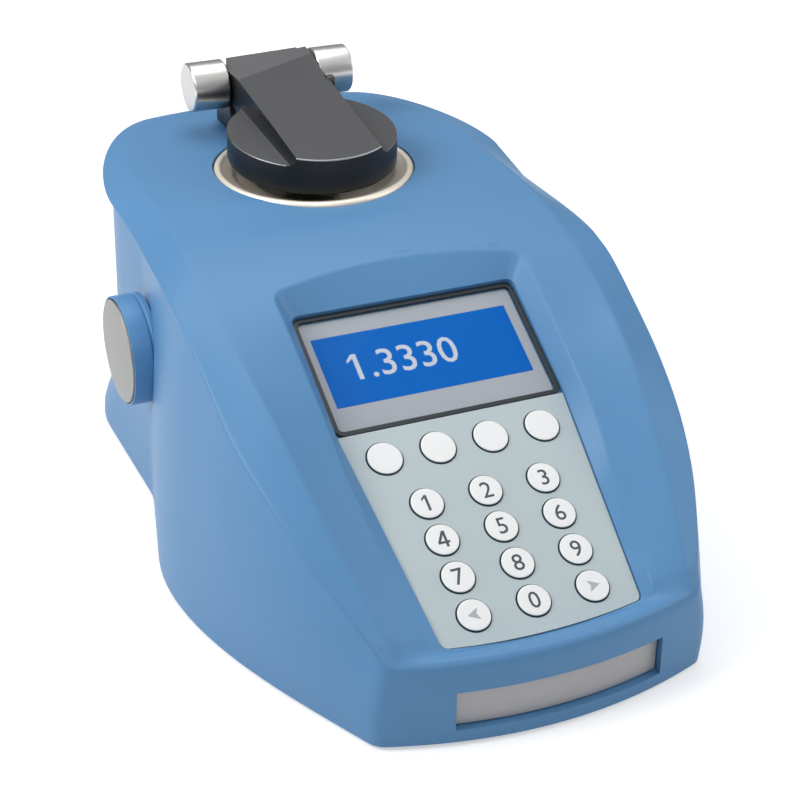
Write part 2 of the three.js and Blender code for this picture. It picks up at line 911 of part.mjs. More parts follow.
function keypadOverlay() {
  const sheet = toSolid(plate(labelShape(0), label_thickness, -label_thickness));
  const holes = key_places.map((key) =>
    post(key.radius + key_ring, 3 * label_thickness, key.x, key.y, -2 * label_thickness, key_sides),
  );
  return cut(sheet, ...holes);
}
face.add(piece("keypad_overlay", keypadOverlay(), "label_grey"));

function displayBezel() {
  const outer = roundedBox(face_top_half, display_foot, face_top, face_corner);
  outer.holes.push(glassShape(0));
  return plate(outer, label_thickness, -label_thickness);
}
face.add(piece("display_bezel", displayBezel(), "bezel_dark"));
face.add(
  piece(
    "display_window",
    plate(glassShape(fit_gap), label_thickness, -label_thickness),
    "sapphire",
  ),
);

function displayModule() {
  const back = pan_bottom - fit_gap - display_height;
  const rear = plate(glassShape(-display_border), display_height, back);
  const glass_top = -label_thickness - fit_gap;
  const glass = plate(
    glassShape(glass_inset),
    glass_top - back - display_height / 2,
    back + display_height / 2,
  );
  return join(rear, glass);
}
face.add(piece("display_module", displayModule(), "display_glass"));

function switchBoard() {
  const soft_key = key_places[key_places.length - 1];
  const low = -3 * row_pitch - flangeOf(key_places[0]);
  const high = soft_row + flangeOf(soft_key);
  const foot = board_top - board_thickness;
  const sheet = block(
    2 * (1.5 * soft_pitch + flangeOf(soft_key)),
    high - low,
    board_thickness,
    0,
    (high + low) / 2,
    foot,
  );
  const domes = key_places.map((key) =>
    post(dome_radius, dome_top - foot, key.x, key.y, foot, dome_sides),
  );
  return join(sheet, ...domes);
}
face.add(piece("switch_board", switchBoard(), "board_green"));

function keyCap(radius) {
  const flange = radius + key_ring + key_flange;
  return turned(
    [
      [0, flange_bottom],
      [flange, flange_bottom],
      [flange, flange_top],
      [radius, flange_top],
      [radius, key_rise - key_edge],
      [radius - key_edge, key_rise],
      [0, key_rise],
    ],
    key_sides,
  );
}
for (const key of key_places) {
  const cap = piece("key_" + key.name, keyCap(key.radius), "key_white");
  cap.position.set(key.x, key.y, 0);
  face.add(cap);
}

// Front plate
instrument.add(
  piece(
    "front_plate",
    frontSlab(
      plate_half,
      plate_foot,
      plate_foot + plate_height,
      pocket_depth - fit_gap - plate_thickness,
      pocket_depth - fit_gap,
    ),
    "plate_grey",
  ),
);

// Sample dish and optics
const dish = new THREE.Group();
dish.position.set(0, dish_y, 0);
instrument.add(dish);

const flange_foot = dish_lip - dish_flange;
dish.add(
  piece(
    "dish_ring",
    turned([
      [dish_radius, flange_foot],
      [dish_radius, dish_lip - dish_flange * 0.38],
      [dish_radius - dish_flange * 0.2, dish_lip - dish_flange * 0.1],
      [dish_radius - dish_flange * 0.55, dish_lip],
      [dish_radius - dish_flange * 0.97, dish_lip - dish_flange * 0.14],
      [dish_spigot + dish_flange * 0.28, dish_lip - dish_flange * 0.66],
      [dish_spigot - dish_flange * 0.6, bowl + dish_bowl_depth * 0.4],
      [dish_window * 1.4, bowl],
      [dish_window, bowl],
      [dish_window, dish_under],
      [dish_spigot, dish_under],
      [dish_spigot, flange_foot],
    ]),
    "steel",
  ),
);
dish.add(
  piece(
    "dish_seal",
    turned([
      [dish_spigot + 2 * fit_gap, collar_floor + fit_gap],
      [dish_radius - fit_gap, collar_floor + fit_gap],
      [dish_radius - fit_gap, flange_foot - fit_gap],
      [dish_spigot + 2 * fit_gap, flange_foot - fit_gap],
    ], small_sides * 2),
    "rubber_black",
  ),
);

const prism_top = dish_under - fit_gap;
const prism_centre = prism_top - prism_height / 2;
function prismSolid() {
  const side = new THREE.Shape();
  side.moveTo(-prism_half_foot, prism_top - prism_height);
  side.lineTo(prism_half_foot, prism_top - prism_height);
  side.lineTo(prism_half_top, prism_top);
  side.lineTo(-prism_half_top, prism_top);
  const neck = dish_window - fit_gap;
  const body = toSolid(sideExtrusion(side, 2 * prism_half_width, 1));
  const round = post(neck, bowl - prism_centre - fit_gap / 2, 0, 0, prism_centre);
  const slab = block(2 * prism_half_width, 2 * neck, 2 * prism_height, 0, 0, prism_centre);
  const tip = post(neck, bowl - prism_top + fit_gap / 2, 0, 0, prism_top - fit_gap / 2);
  return body.add(toSolid(round).intersect(toSolid(slab))).add(toSolid(tip));
}
dish.add(piece("prism", prismSolid(), "sapphire"));

// A shape built along +Z turned to point down one of the two slanted bores.
function downBore(geometry, side) {
  return geometry
    .rotateX(side * (Math.PI / 2 + bore_slope))
    .translate(0, 0, prism_centre);
}
const optics_foot = prism_top - optics_height;
function opticsBlock() {
  const body = block(
    2 * optics_half_width,
    2 * optics_half_depth,
    optics_height,
    0,
    0,
    optics_foot,
  );
  const pocket_foot = prism_top - prism_height - fit_gap;
  const pocket = block(
    2 * (prism_half_width + fit_gap),
    2 * (prism_half_top + fit_gap),
    prism_height + overrun,
    0,
    0,
    pocket_foot,
  );
  const well = post(
    dish_window,
    overrun,
    0,
    0,
    prism_top - prism_height / 4,
  );
  const reach = boards_far + overrun;
  return cut(
    toSolid(body),
    pocket,
    well,
    downBore(post(bore_radius, reach, 0, 0, 0, small_sides), 1),
    downBore(post(bore_radius, reach, 0, 0, 0, small_sides), -1),
  );
}
dish.add(piece("optics_block", opticsBlock(), "aluminium"));

function boreUnit(near, side) {
  const body = post(
    bore_radius - fit_gap,
    boards_far - near + board_thickness / 2,
    0,
    0,
    near,
    small_sides,
  );
  const board = block(optic_board, optic_board, board_thickness, 0, 0, boards_far);
  return join(downBore(body, side), downBore(board, side));
}
dish.add(piece("light_source", boreUnit(lamp_near, 1), "board_green"));
dish.add(piece("sensor_board", boreUnit(sensor_near, -1), "board_green"));
dish.add(
  piece(
    "lens",
    downBore(
      turned(
        [
          [0, lens_near],
          [bore_radius - fit_gap, lens_near + lens_thickness * 0.3],
          [bore_radius - fit_gap, lens_near + lens_thickness * 0.7],
          [0, lens_near + lens_thickness],
        ],
        small_sides,
      ),
      -1,
    ),
    "sapphire",
  ),
);

const peltier_foot = optics_foot - fit_gap - peltier_height;
dish.add(
  piece(
    "peltier_module",
    block(peltier_side, peltier_side, peltier_height, 0, 0, peltier_foot),
    "ceramic_white",
  ),
);
function heatSink() {
  const foot = peltier_foot - fit_gap - sink_height;
  const fins = [];
  const pitch = (sink_width - sink_fin) / (sink_fins - 1);
  for (let k = 0; k < sink_fins; k++) {
    const x = -sink_width / 2 + sink_fin / 2 + k * pitch;
    fins.push(block(sink_fin, sink_depth, sink_height - sink_base / 2, x, 0, foot));
  }
  const plateau = foot + sink_height - sink_base;
  return join(block(sink_width, sink_depth, sink_base, 0, 0, plateau), ...fins);
}
dish.add(piece("heat_sink", heatSink(), "aluminium"));

// Hinge
const hinge = new THREE.Group();
hinge.position.set(0, hinge_y, hinge_z);
instrument.add(hinge);

const plateau_gap = plateau_height + fit_gap - hinge_z;
function hingeBracket() {
  const base = block(2 * ear_face, 2 * bracket_half_depth, bracket_base, 0, 0, plateau_gap);
  const ear = new THREE.Shape();
  ear.moveTo(-bracket_half_depth, plateau_gap);
  ear.lineTo(bracket_half_depth, plateau_gap);
  ear.lineTo(ear_radius, 0);
  ear.absarc(0, 0, ear_radius, 0, Math.PI);
  const ears = [-1, 1].map((side) =>
    sideExtrusion(ear, ear_thickness, small_sides).translate(
      side * (ear_face - ear_thickness / 2),
      0,
      0,
    ),
  );
  const screws = [-1, 1].map((side) =>
    post(
      small_screw_head + fit_gap,
      bracket_base * 2,
      side * bracket_screw_offset,
      0,
      plateau_gap - bracket_base / 2,
      small_sides,
    ),
  );
  const bore = bar(pin_radius + fit_gap, 2 * barrel_end, -barrel_end, 0, 0, small_sides * 2);
  return cut(join(base, ...ears), bore, ...screws);
}
hinge.add(piece("hinge_bracket", hingeBracket(), "lid_black"));
[-1, 1].forEach((side, index) => {
  const screw = piece(
    "bracket_screw_" + (index + 1),
    post(small_screw_head, small_screw_length, 0, 0, 0, small_sides),
    "polished_steel",
  );
  screw.position.set(side * bracket_screw_offset, 0, plateau_gap);
  hinge.add(screw);
});
const pin = bar(pin_radius, 2 * pin_half, -pin_half, 0, 0, small_sides * 2);
hinge.add(piece("hinge_pin", pin, "polished_steel"));
[-1, 1].forEach((side) => {
  const length = barrel_end - ear_face - fit_gap;
  const outer = bar(
    barrel_radius,
    length,
    side > 0 ? ear_face + fit_gap : -barrel_end,
    0,
    0,
  );
  const hole_end = pin_half + fit_gap;
  const hole = bar(
    pin_radius + fit_gap,
    hole_end,
    side > 0 ? 0 : -hole_end,
    0,
    0,
    small_sides * 2,
  );
  const name = side > 0 ? "hinge_barrel_right" : "hinge_barrel_left";
  hinge.add(piece(name, cut(toSolid(outer), hole), "polished_steel"));
});

// Lid, drawn about the hinge axis and shown closed
const lid = new THREE.Group();
hinge.add(lid);
const lid_centre = lid_y - hinge_y;
const lid_foot = lid_bottom - hinge_z;
const lid_front = lid_centre - lid_radius;
const arm_front = arm_front_height - hinge_z;
const arm_top_at = (y) => arm_front + (y - lid_front) * arm_slope_share;

function lidBody() {
  const disc = turned([
    [0, lid_foot],
    [lid_radius - lid_edge * 1.6, lid_foot],
    [lid_radius, lid_foot + lid_edge],
    [lid_radius, lid_crescent - hinge_z - lid_edge / 2],
    [lid_radius - lid_edge / 2, lid_crescent - hinge_z],
    [0, lid_crescent - hinge_z],
  ]).translate(0, lid_centre, 0);
  const neck = lid_centre + lid_radius;
  const side = new THREE.Shape();
  side.moveTo(lid_front, lid_foot + lid_edge);
  side.lineTo(neck - lid_edge, lid_foot + lid_edge);
  side.lineTo(-arm_hub - lid_edge, -arm_waist - lid_edge);
  side.absarc(0, 0, arm_hub, Math.PI * 1.2, Math.PI * 1.5);
  side.lineTo(arm_rear - lid_edge, -arm_hub);
  side.lineTo(arm_rear, -arm_hub + lid_edge);
  side.lineTo(arm_rear, arm_top_at(0) - lid_edge * 2);
  side.lineTo(arm_rear - lid_edge, arm_top_at(0) - lid_edge / 2);
  side.lineTo(0, arm_top_at(0));
  side.lineTo(lid_front, arm_front);
  const profile = toSolid(sideExtrusion(side, 2 * lid_radius, small_sides));
  const plan = new THREE.Shape();
  plan.moveTo(-arm_rear_half, arm_rear + overrun);
  plan.lineTo(-arm_rear_half, -arm_hub);
  plan.lineTo(-arm_half, lid_centre);
  const swing = Math.acos(arm_half / (lid_radius - fit_gap));
  plan.absarc(0, lid_centre, lid_radius - fit_gap, Math.PI + swing, Math.PI * 2 - swing);
  plan.lineTo(arm_half, lid_centre);
  plan.lineTo(arm_rear_half, -arm_hub);
  plan.lineTo(arm_rear_half, arm_rear + overrun);
  const outline = toSolid(plate(plan, 3 * barrel_end, lid_foot - overrun, small_sides));
  const arm = profile.intersect(outline);
  return cut(
    toSolid(disc).add(arm),
    bar(pin_radius + fit_gap, 2 * barrel_end, -barrel_end, 0, 0, small_sides * 2),
  );
}
lid.add(piece("lid", lidBody(), "lid_black"));

const presser_foot = lid_foot - fit_gap - presser_height;
lid.add(
  piece(
    "presser_pad",
    turned([
      [0, presser_foot],
      [presser_radius - key_edge, presser_foot],
      [presser_radius, presser_foot + key_edge],
      [presser_radius, lid_foot - fit_gap - presser_flange_height],
      [presser_flange, lid_foot - fit_gap - presser_flange_height],
      [presser_flange, lid_foot - fit_gap],
      [0, lid_foot - fit_gap],
    ], small_sides * 2).translate(0, lid_centre, 0),
    "rubber_black",
  ),
);
const nub_x = THREE.MathUtils.lerp(
  arm_half,
  arm_rear_half,
  (-nub_back - lid_centre) / (-arm_hub - lid_centre),
);
lid.add(
  piece(
    "lid_side_screw",
    bar(nub_radius, nub_height, nub_x + fit_gap, -nub_back, nub_rise, small_sides),
    "lid_black",
  ),
);

// Side cap with the desiccant canister, drawn about its own axis
const cap = new THREE.Group();
cap.position.set(-cap_seat, cap_y, cap_z);
instrument.add(cap);
const cap_length = cap_face - cap_disc_proud - cap_seat;
const disc_seat = cap_length + cap_disc_proud - cap_disc_thickness - fit_gap;
function sideCap() {
  const rim = cap_disc_radius + cap_rim;
  const body = bar(rim, cap_length, -cap_length, 0, 0);
  const recess = bar(
    cap_disc_radius + fit_gap,
    overrun,
    -disc_seat - overrun,
    0,
    0,
  );
  return cut(toSolid(body), recess);
}
cap.add(piece("side_cap", sideCap(), "housing_blue"));
const cap_plate_x = -cap_face + cap_seat;
cap.add(
  piece(
    "side_cap_disc",
    bar(cap_disc_radius, cap_disc_thickness, cap_plate_x, 0, 0),
    "steel",
  ),
);
cap.add(
  piece(
    "desiccant_canister",
    bar(canister_radius, canister_length, fit_gap, 0, 0),
    "ceramic_white",
  ),
);

// Rear panel and ports
const rear = new THREE.Group();
rear.position.set(0, panel_face, panel_foot);
instrument.add(rear);
const port_z = panel_height / 2;
function rearPanel() {
  const outline = roundedBox(panel_half, 0, panel_height, display_corner);
  const sheet = plate(outline, panel_thickness).rotateX(Math.PI / 2);
  const through = 3 * panel_thickness;
  const inlet = post(inlet_radius + fit_gap, through, inlet_x, port_z, -through / 3, small_sides * 2);
  const port = block(
    2 * (port_shell_half + fit_gap),
    port_shell_height + 2 * fit_gap,
    through,
    port_x,
    port_z,
    -through / 3,
  );
  const power = block(
    2 * (switch_half + fit_gap),
    switch_height + 2 * fit_gap,
    through,
    switch_x,
    port_z,
    -through / 3,
  );
  return cut(toSolid(sheet), ...[inlet, port, power].map((tool) => tool.rotateX(Math.PI / 2)));
}
rear.add(piece("rear_panel", rearPanel(), "plastic_black"));

// Shapes of the ports are drawn looking at the panel, then turned to face the rear.
const facingRear = (geometry) => geometry.rotateX(-Math.PI / 2);
function powerInlet() {
  const flange = turned(
    [
      [0, -inlet_length],
      [inlet_radius, -inlet_length],
      [inlet_radius, fit_gap],
      [inlet_flange, fit_gap],
      [inlet_flange, inlet_flange_height],
      [inlet_socket, inlet_flange_height],
      [inlet_socket, inlet_flange_height - inlet_socket_depth],
      [inlet_pin, inlet_flange_height - inlet_socket_depth],
      [inlet_pin, 0],
      [0, 0],
    ],
    small_sides * 2,
  );
  return facingRear(flange);
}
const inlet = piece("power_inlet", powerInlet(), "plastic_black");
inlet.position.set(inlet_x, 0, port_z);
rear.add(inlet);

function serialPort() {
  const flange = block(
    2 * port_half,
    port_height,
    port_depth / 3,
    0,
    0,
    -panel_thickness - fit_gap - port_depth / 3,
  );
  const shell = new THREE.Shape();
  const half = port_shell_height / 2;
  shell.moveTo(-port_shell_half * 0.88, -half);
  shell.lineTo(port_shell_half * 0.88, -half);
  shell.lineTo(port_shell_half, half);
  shell.lineTo(-port_shell_half, half);
  const shell_back = -panel_thickness - port_depth;
  const body = plate(shell, port_proud - shell_back, shell_back);
  return toGeometry(join(flange, body)).rotateX(-Math.PI / 2);
}
const port = piece("serial_port", serialPort(), "steel");
port.position.set(port_x, 0, port_z);
rear.add(port);

const rocker_gap = fit_gap + rocker_depth * (1 - Math.cos(THREE.MathUtils.degToRad(rocker_throw)));
function powerSwitch() {
  const body = block(2 * switch_half, switch_height, switch_depth, 0, 0, -switch_depth);
  const bezel = block(
    2 * (switch_half + switch_bezel),
    switch_height + 2 * switch_bezel,
    switch_bezel,
    0,
    0,
    fit_gap,
  );
  const collar = block(2 * switch_half, switch_height, 2 * fit_gap, 0, 0, -fit_gap / 2);
  const mouth = block(
    2 * (rocker_half + fit_gap),
    rocker_height + 4 * fit_gap + rocker_gap,
    rocker_depth + overrun,
    0,
    0,
    switch_bezel - rocker_depth,
  );
  return toGeometry(cut(join(body, bezel, collar), mouth)).rotateX(-Math.PI / 2);
}
const power = piece("power_switch", powerSwitch(), "plastic_black");
power.position.set(switch_x, 0, port_z);
rear.add(power);

// The rocker turns about X. It is drawn in its off position.
function rockerSolid() {
  const side = new THREE.Shape();
  const half = rocker_height / 2;
  side.absarc(0, 0, rocker_depth / 2, -Math.PI * 0.95, -Math.PI * 0.05);
  side.lineTo(half, rocker_depth * 0.3);
  side.lineTo(0, rocker_depth * 0.12);
  side.lineTo(-half, rocker_depth * 0.3);
  return sideExtrusion(side, 2 * rocker_half, small_sides);
}
const rocker = piece("power_rocker", rockerSolid().rotateX(-Math.PI / 2), "plastic_black");
rocker.position.set(switch_x, switch_bezel + fit_gap - rocker_depth * 0.3, port_z);
rocker.rotation.x = THREE.MathUtils.degToRad(rocker_throw);
rear.add(rocker);

// Base plate, feet, screws and main board
const standoffs = [-1, 1].flatMap((side) =>
  [-1, 1].map((end) => ({
    x: side * (mainboard_half_width - standoff_inset),
    y: mainboard_y + end * (mainboard_depth / 2 - standoff_inset),
  })),
);
function basePlate() {
  const rim = mirrored(sizedLoop(base_loop_shares, inner_steps));
  const outline = insetLoop(rim, wall + base_clearance, 0);
  const shape = new THREE.Shape(outline.map((p) => new THREE.Vector2(p.x, p.y)));
  const body = join(
    plate(shape, base_thickness, base_lift),
    ...standoffs.map((at) =>
      post(
        standoff_radius,
        mainboard_lift + base_thickness / 2,
        at.x,
        at.y,
        base_lift + base_thickness / 2,
        small_sides,
      ),
    ),
  );
  const holes = bosses.flatMap((boss) => [
    post(boss_bore, 2 * base_thickness, boss.x, boss.y, base_lift - base_thickness / 2, small_sides),
    post(
      screw_head + screw_clearance,
      base_lift + screw_head_height + overrun,
      boss.x,
      boss.y,
      -overrun,
      small_sides,
    ),
  ]);
  return cut(body, ...holes);
}
instrument.add(piece("base_plate", basePlate(), "plastic_black"));

bosses.forEach((boss, index) => {
  const head_foot = base_lift + screw_clearance / 2;
  const screw = piece(
    "base_screw_" + (index + 1),
    turned(
      [
        [0, 0],
        [screw_head, 0],
        [screw_head, screw_head_height - screw_clearance],
        [screw_shank, screw_head_height - screw_clearance],
        [screw_shank, screw_length - screw_clearance - head_foot],
        [0, screw_length - screw_clearance - head_foot],
      ],
      small_sides,
    ),
    "steel",
  );
  screw.position.set(boss.x, boss.y, head_foot);
  instrument.add(screw);
});

const feet = [
  ["foot_front_left", -foot_x_front, foot_y_front],
  ["foot_front_right", foot_x_front, foot_y_front],
  ["foot_rear_left", -foot_x_rear, foot_y_rear],
  ["foot_rear_right", foot_x_rear, foot_y_rear],
];
for (const [name, x, y] of feet) {
  const top = foot_lift + base_lift - fit_gap / 3;
  const foot = piece(
    name,
    turned(
      [
        [0, 0],
        [foot_radius - foot_chamfer, 0],
        [foot_radius, foot_chamfer],
        [foot_radius, top],
        [0, top],
      ],
      small_sides * 2,
    ),
    "rubber_black",
  );
  foot.position.set(x, y, -foot_lift);
  instrument.add(foot);
}

instrument.add(
  piece(
    "main_board",
    block(
      2 * mainboard_half_width,
      mainboard_depth,
      board_thickness,
      0,
      mainboard_y,
      base_top + mainboard_lift + fit_gap,
    ),
    "board_green",
  ),
);

export default instrument;
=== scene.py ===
import math

import bmesh
import bpy
import numpy as np
from mathutils import Matrix, Vector
from mathutils.bvhtree import BVHTree


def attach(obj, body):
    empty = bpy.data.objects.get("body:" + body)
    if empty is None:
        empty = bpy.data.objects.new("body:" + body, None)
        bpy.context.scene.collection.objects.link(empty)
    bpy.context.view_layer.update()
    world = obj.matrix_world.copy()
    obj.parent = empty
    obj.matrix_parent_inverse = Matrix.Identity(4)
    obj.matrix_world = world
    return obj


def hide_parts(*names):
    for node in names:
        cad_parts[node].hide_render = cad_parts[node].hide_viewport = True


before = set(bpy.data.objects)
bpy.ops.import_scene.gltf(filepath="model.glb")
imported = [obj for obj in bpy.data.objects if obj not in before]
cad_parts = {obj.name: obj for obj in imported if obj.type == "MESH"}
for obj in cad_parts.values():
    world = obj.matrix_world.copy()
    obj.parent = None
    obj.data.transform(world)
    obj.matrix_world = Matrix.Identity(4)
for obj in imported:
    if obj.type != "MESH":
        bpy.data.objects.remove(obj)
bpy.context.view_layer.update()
scene = bpy.context.scene
scene.view_settings.view_transform = "Standard"
MM = 0.001

# Camera
# It looks down on the keypad's left front, from the place solved from the keypad rows,
# the dish circle, the base outline and the hinge.
camera_place = Vector((-220.18, -507.67, 344.95)) * MM
camera_turn = math.radians(-24.07)
camera_tilt = math.radians(28.79)
camera_roll = math.radians(0.82)
camera_lens = 86.32


def put_in(name, data):
    """Makes an object of its data and puts it into the scene."""
    made = bpy.data.objects.new(name, data)
    scene.collection.objects.link(made)
    return made


camera_data = bpy.data.cameras.new("camera")
camera_data.sensor_width = 36
camera_data.lens = camera_lens
camera_data.clip_start = 0.01
camera = put_in("camera", camera_data)
turn = Matrix.Rotation(camera_turn, 4, "Z")
tilt = Matrix.Rotation(math.pi / 2 - camera_tilt, 4, "X")
roll = Matrix.Rotation(camera_roll, 4, "Z")
camera.matrix_world = Matrix.Translation(camera_place) @ turn @ tilt @ roll
scene.camera = camera


# Floor and studio light
# A matt white bench sheet under a large soft lamp from the upper left, a weaker one
# from the right, and a pale room all round.
def linear(hex_colour):
    """An sRGB hex colour as linear red, green, blue and alpha."""
    parts = [int(hex_colour[i : i + 2], 16) / 255 for i in (1, 3, 5)]
    scaled = [((p + 0.055) / 1.055) ** 2.4 if p > 0.04045 else p / 12.92 for p in parts]
    return (*scaled, 1)


def add_node(tree, kind, inputs=(), **settings):
    """Adds one node, sets its settings, and sets or links its inputs."""
    made = tree.nodes.new(kind)
    for name, value in settings.items():
        setattr(made, name, value)
    for name, value in dict(inputs).items():
        if isinstance(value, bpy.types.NodeSocket):
            tree.links.new(value, made.inputs[name])
        else:
            made.inputs[name].default_value = value
    return made


def start_tree(owner):
    """Empties a material's or a world's node tree and returns it."""
    owner.use_nodes = True
    owner.node_tree.nodes.clear()
    return owner.node_tree


def new_piece(name, points, faces):
    """A mesh object from points in millimetres."""
    mesh = bpy.data.meshes.new(name)
    mesh.from_pydata([tuple(float(c) * MM for c in p) for p in points], [], faces)
    mesh.validate()
    return put_in(name, mesh)


# How bright the room is: to the camera, as light on the object, and in reflections of
# its walls and its ceiling. The last two are the heights between which a ray passes from
# the one to the other.
room_white = 1.0
room_level = 0.12
wall_gloss = 0.24
ceiling_gloss = 0.95
wall_height = 0.5
ceiling_height = 0.92
world = bpy.data.worlds.new("studio room")
scene.world = world
tree = start_tree(world)
rays = add_node(tree, "ShaderNodeLightPath")
seen = add_node(
    tree,
    "ShaderNodeMath",
    {0: rays.outputs["Is Camera Ray"], 1: rays.outputs["Is Transmission Ray"]},
    operation="MAXIMUM",
)
# Reflections see a bright ceiling over dimmer walls, which gives metal its bands.
way = add_node(tree, "ShaderNodeTexCoord").outputs["Generated"]
way_parts = add_node(tree, "ShaderNodeSeparateXYZ", {"Vector": way})
room = add_node(
    tree,
    "ShaderNodeMapRange",
    {
        "Value": way_parts.outputs["Z"],
        "From Min": wall_height,
        "From Max": ceiling_height,
        "To Min": wall_gloss,
        "To Max": ceiling_gloss,
    },
)
glossy = add_node(
    tree,
    "ShaderNodeMath",
    {0: rays.outputs["Is Glossy Ray"], 1: room.outputs[0]},
    operation="MULTIPLY",
)
share = add_node(
    tree,
    "ShaderNodeMath",
    {0: seen.outputs[0], 1: glossy.outputs[0]},
    operation="MAXIMUM",
)
level = add_node(
    tree,
    "ShaderNodeMix",
    {"Factor": share.outputs[0], 2: room_level, 3: room_white},
    data_type="FLOAT",
)
sky = add_node(
    tree,
    "ShaderNodeBackground",
    {"Color": linear("#ffffff"), "Strength": level.outputs[0]},
)
add_node(tree, "ShaderNodeOutputWorld", {"Surface": sky.outputs[0]})

floor_reach = 6000
floor_corners = [(-1, -1), (1, -1), (1, 1), (-1, 1)]
floor_points = [(x * floor_reach, y * floor_reach, 0) for x, y in floor_corners]
floor = new_piece("bench_floor", floor_points, [(0, 1, 2, 3)])

# White paper sheet: matt, with a little light of its own for the camera, so that it
# reads as white and still takes the object's shadow. Far from the object, where the
# lamps fall off, it has more.
glow_near = 250
glow_far = 900
near_glow = 0.46
paper = bpy.data.materials.new("matt white paper sheet")
tree = start_tree(paper)
rays = add_node(tree, "ShaderNodeLightPath")
seen = add_node(
    tree,
    "ShaderNodeMath",
    {0: rays.outputs["Is Camera Ray"], 1: rays.outputs["Is Glossy Ray"]},
    operation="MAXIMUM",
)
spot = add_node(tree, "ShaderNodeTexCoord").outputs["Object"]
away = add_node(tree, "ShaderNodeVectorMath", {0: spot}, operation="LENGTH")
share = add_node(
    tree,
    "ShaderNodeMapRange",
    {
        "Value": away.outputs["Value"],
        "From Min": glow_near * MM,
        "From Max": glow_far * MM,
        "To Min": near_glow,
        "To Max": 1,
    },
)
lift = add_node(
    tree,
    "ShaderNodeMath",
    {0: seen.outputs[0], 1: share.outputs[0]},
    operation="MULTIPLY",
)
sheet = add_node(tree, "ShaderNodeBsdfDiffuse", {"Color": linear("#eaeaea")})
glow = add_node(tree, "ShaderNodeEmission", {"Strength": lift.outputs[0]})
both = add_node(tree, "ShaderNodeAddShader", {0: sheet.outputs[0], 1: glow.outputs[0]})
add_node(tree, "ShaderNodeOutputMaterial", {"Surface": both.outputs[0]})
floor.data.materials.append(paper)

# Each lamp's place, the side of its square and its power.
lamps = [
    ("key lamp", (-700, 60, 640), 500, 5.4),
    ("front lamp", (-180, -760, 700), 500, 1.8),
    ("right lamp", (720, -300, 460), 500, 2.1),
    ("top lamp", (60, 260, 900), 600, 3),
]
lamp_target = Vector((0, 0, 50)) * MM
for name, lamp_place, side, power in lamps:
    data = bpy.data.lights.new(name, "AREA")
    data.size = side * MM
    data.energy = power
    lamp = put_in(name, data)
    lamp.location = Vector(lamp_place) * MM
    aim = lamp_target - lamp.location
    lamp.rotation_euler = aim.to_track_quat("-Z", "Y").to_euler()


# Upper housing
# One injection moulding in satin blue ABS: steep walls, a brow that overhangs them, a
# sloping band inside the brow's edge, and a flatter top with the keypad's recess. Its
# outlines run round the right half, from the front middle to the rear middle.
half_width = 82.1
foot_lift = 1.5
wall = 3
fit_gap = 0.3
overrun = 4
base_loop = [
    [[0, -129.2, 0], [25, -129.2, 0], [50.2, -120.1, 0]],
    [[52.6, -119.2, 0], [53.8, -116.5, 0]],
    [[64.2, -93.6, 0], [82.1, -58.6, 0], [82.1, -24.5, 0]],
    [[82.1, -14.6, 0], [80, -5.6, 0]],
    [[70, 32.5, 0]],
    [[70, 84.4, 0]],
    [[70, 114.6, 0], [42, 123.8, 0]],
    [[20, 125.6, 0], [0, 125.6, 0]],
]
eave_loop = [
    [[0, -128.7, 24.3], [25, -128.7, 24.3], [48.6, -120, 24.4]],
    [[50.7, -119.2, 24.8], [51.5, -116.8, 27.2]],
    [
        [52.2, -114.7, 29.4],
        [56.6, -105.6, 37],
        [62.4, -92, 47],
        [67.2, -75.4, 57],
        [71, -54.7, 67],
        [71.8, -36.7, 77],
        [72.4, -17.4, 86.4],
        [72.2, -6.4, 89.4],
    ],
    [[71.7, 4.6, 90.2], [70.3, 14.6, 90.5]],
    [[67.6, 38.6, 91.3]],
    [[67.6, 63.6, 94]],
    [[67.2, 81.6, 96], [54, 118.2, 96.6], [36, 122, 96.6]],
    [[18, 125.2, 96.6], [0, 125.3, 96.6]],
]
shoulder_loop = [
    [[0, -128.6, 25.5], [25, -128.6, 25.5], [48.5, -119.9, 25.6]],
    [[50.6, -119.1, 26.2], [51.3, -116.7, 28.6]],
    [
        [52, -114.6, 30.8],
        [56.4, -105.6, 38.5],
        [62.1, -92, 48.5],
        [66.9, -75.4, 58.5],
        [70.7, -54.7, 68.5],
        [71.6, -36.7, 78.4],
        [72.3, -17.4, 87.8],
        [72.4, -6.4, 90.8],
    ],
    [[72.4, 4.6, 92], [71.6, 14.6, 92.3]],
    [[70, 38.6, 93]],
    [[71, 63.6, 96.6]],
    [[70.5, 82.6, 98.8], [56.5, 121.9, 99.2], [37.4, 125.2, 99.2]],
    [[19, 128.5, 99.2], [0, 128.6, 99.2]],
]
crease_loop = [
    [[0, -126.6, 27.6], [25, -126.6, 27.6], [45, -119.2, 27.2]],
    [[46.4, -118.6, 27.8], [47.1, -116.4, 30.1]],
    [
        [47.8, -114.2, 32.4],
        [50.7, -101.4, 42.6],
        [52.6, -92, 49.2],
        [55.4, -77.4, 59.4],
        [58.6, -54.7, 73.8],
        [60.5, -38.7, 80.8],
        [61.3, -20.4, 88.6],
        [61.4, -3.4, 93.8],
    ],
    [[61.7, 6.6, 96.4], [61.7, 16.6, 97.8]],
    [[60.4, 38.6, 99.8]],
    [[60.2, 63.6, 100]],
    [[60.4, 82.6, 100], [52, 115.2, 100], [35.4, 121.8, 100]],
    [[18, 125.3, 100], [0, 125.6, 100]],
]
fine_steps = [20, 6, 40, 8, 14, 16, 28, 12]
coarse_steps = [3, 2, 4, 2, 1, 1, 3, 2]
wall_rings = 23
top_insets = [1, 2, 3.2, 4.6]
top_columns = 36
brow_reach = 2.4
fold_reach = 2.6
front_softness = 1.7
side_softness = 0.55
wall_swell = 2
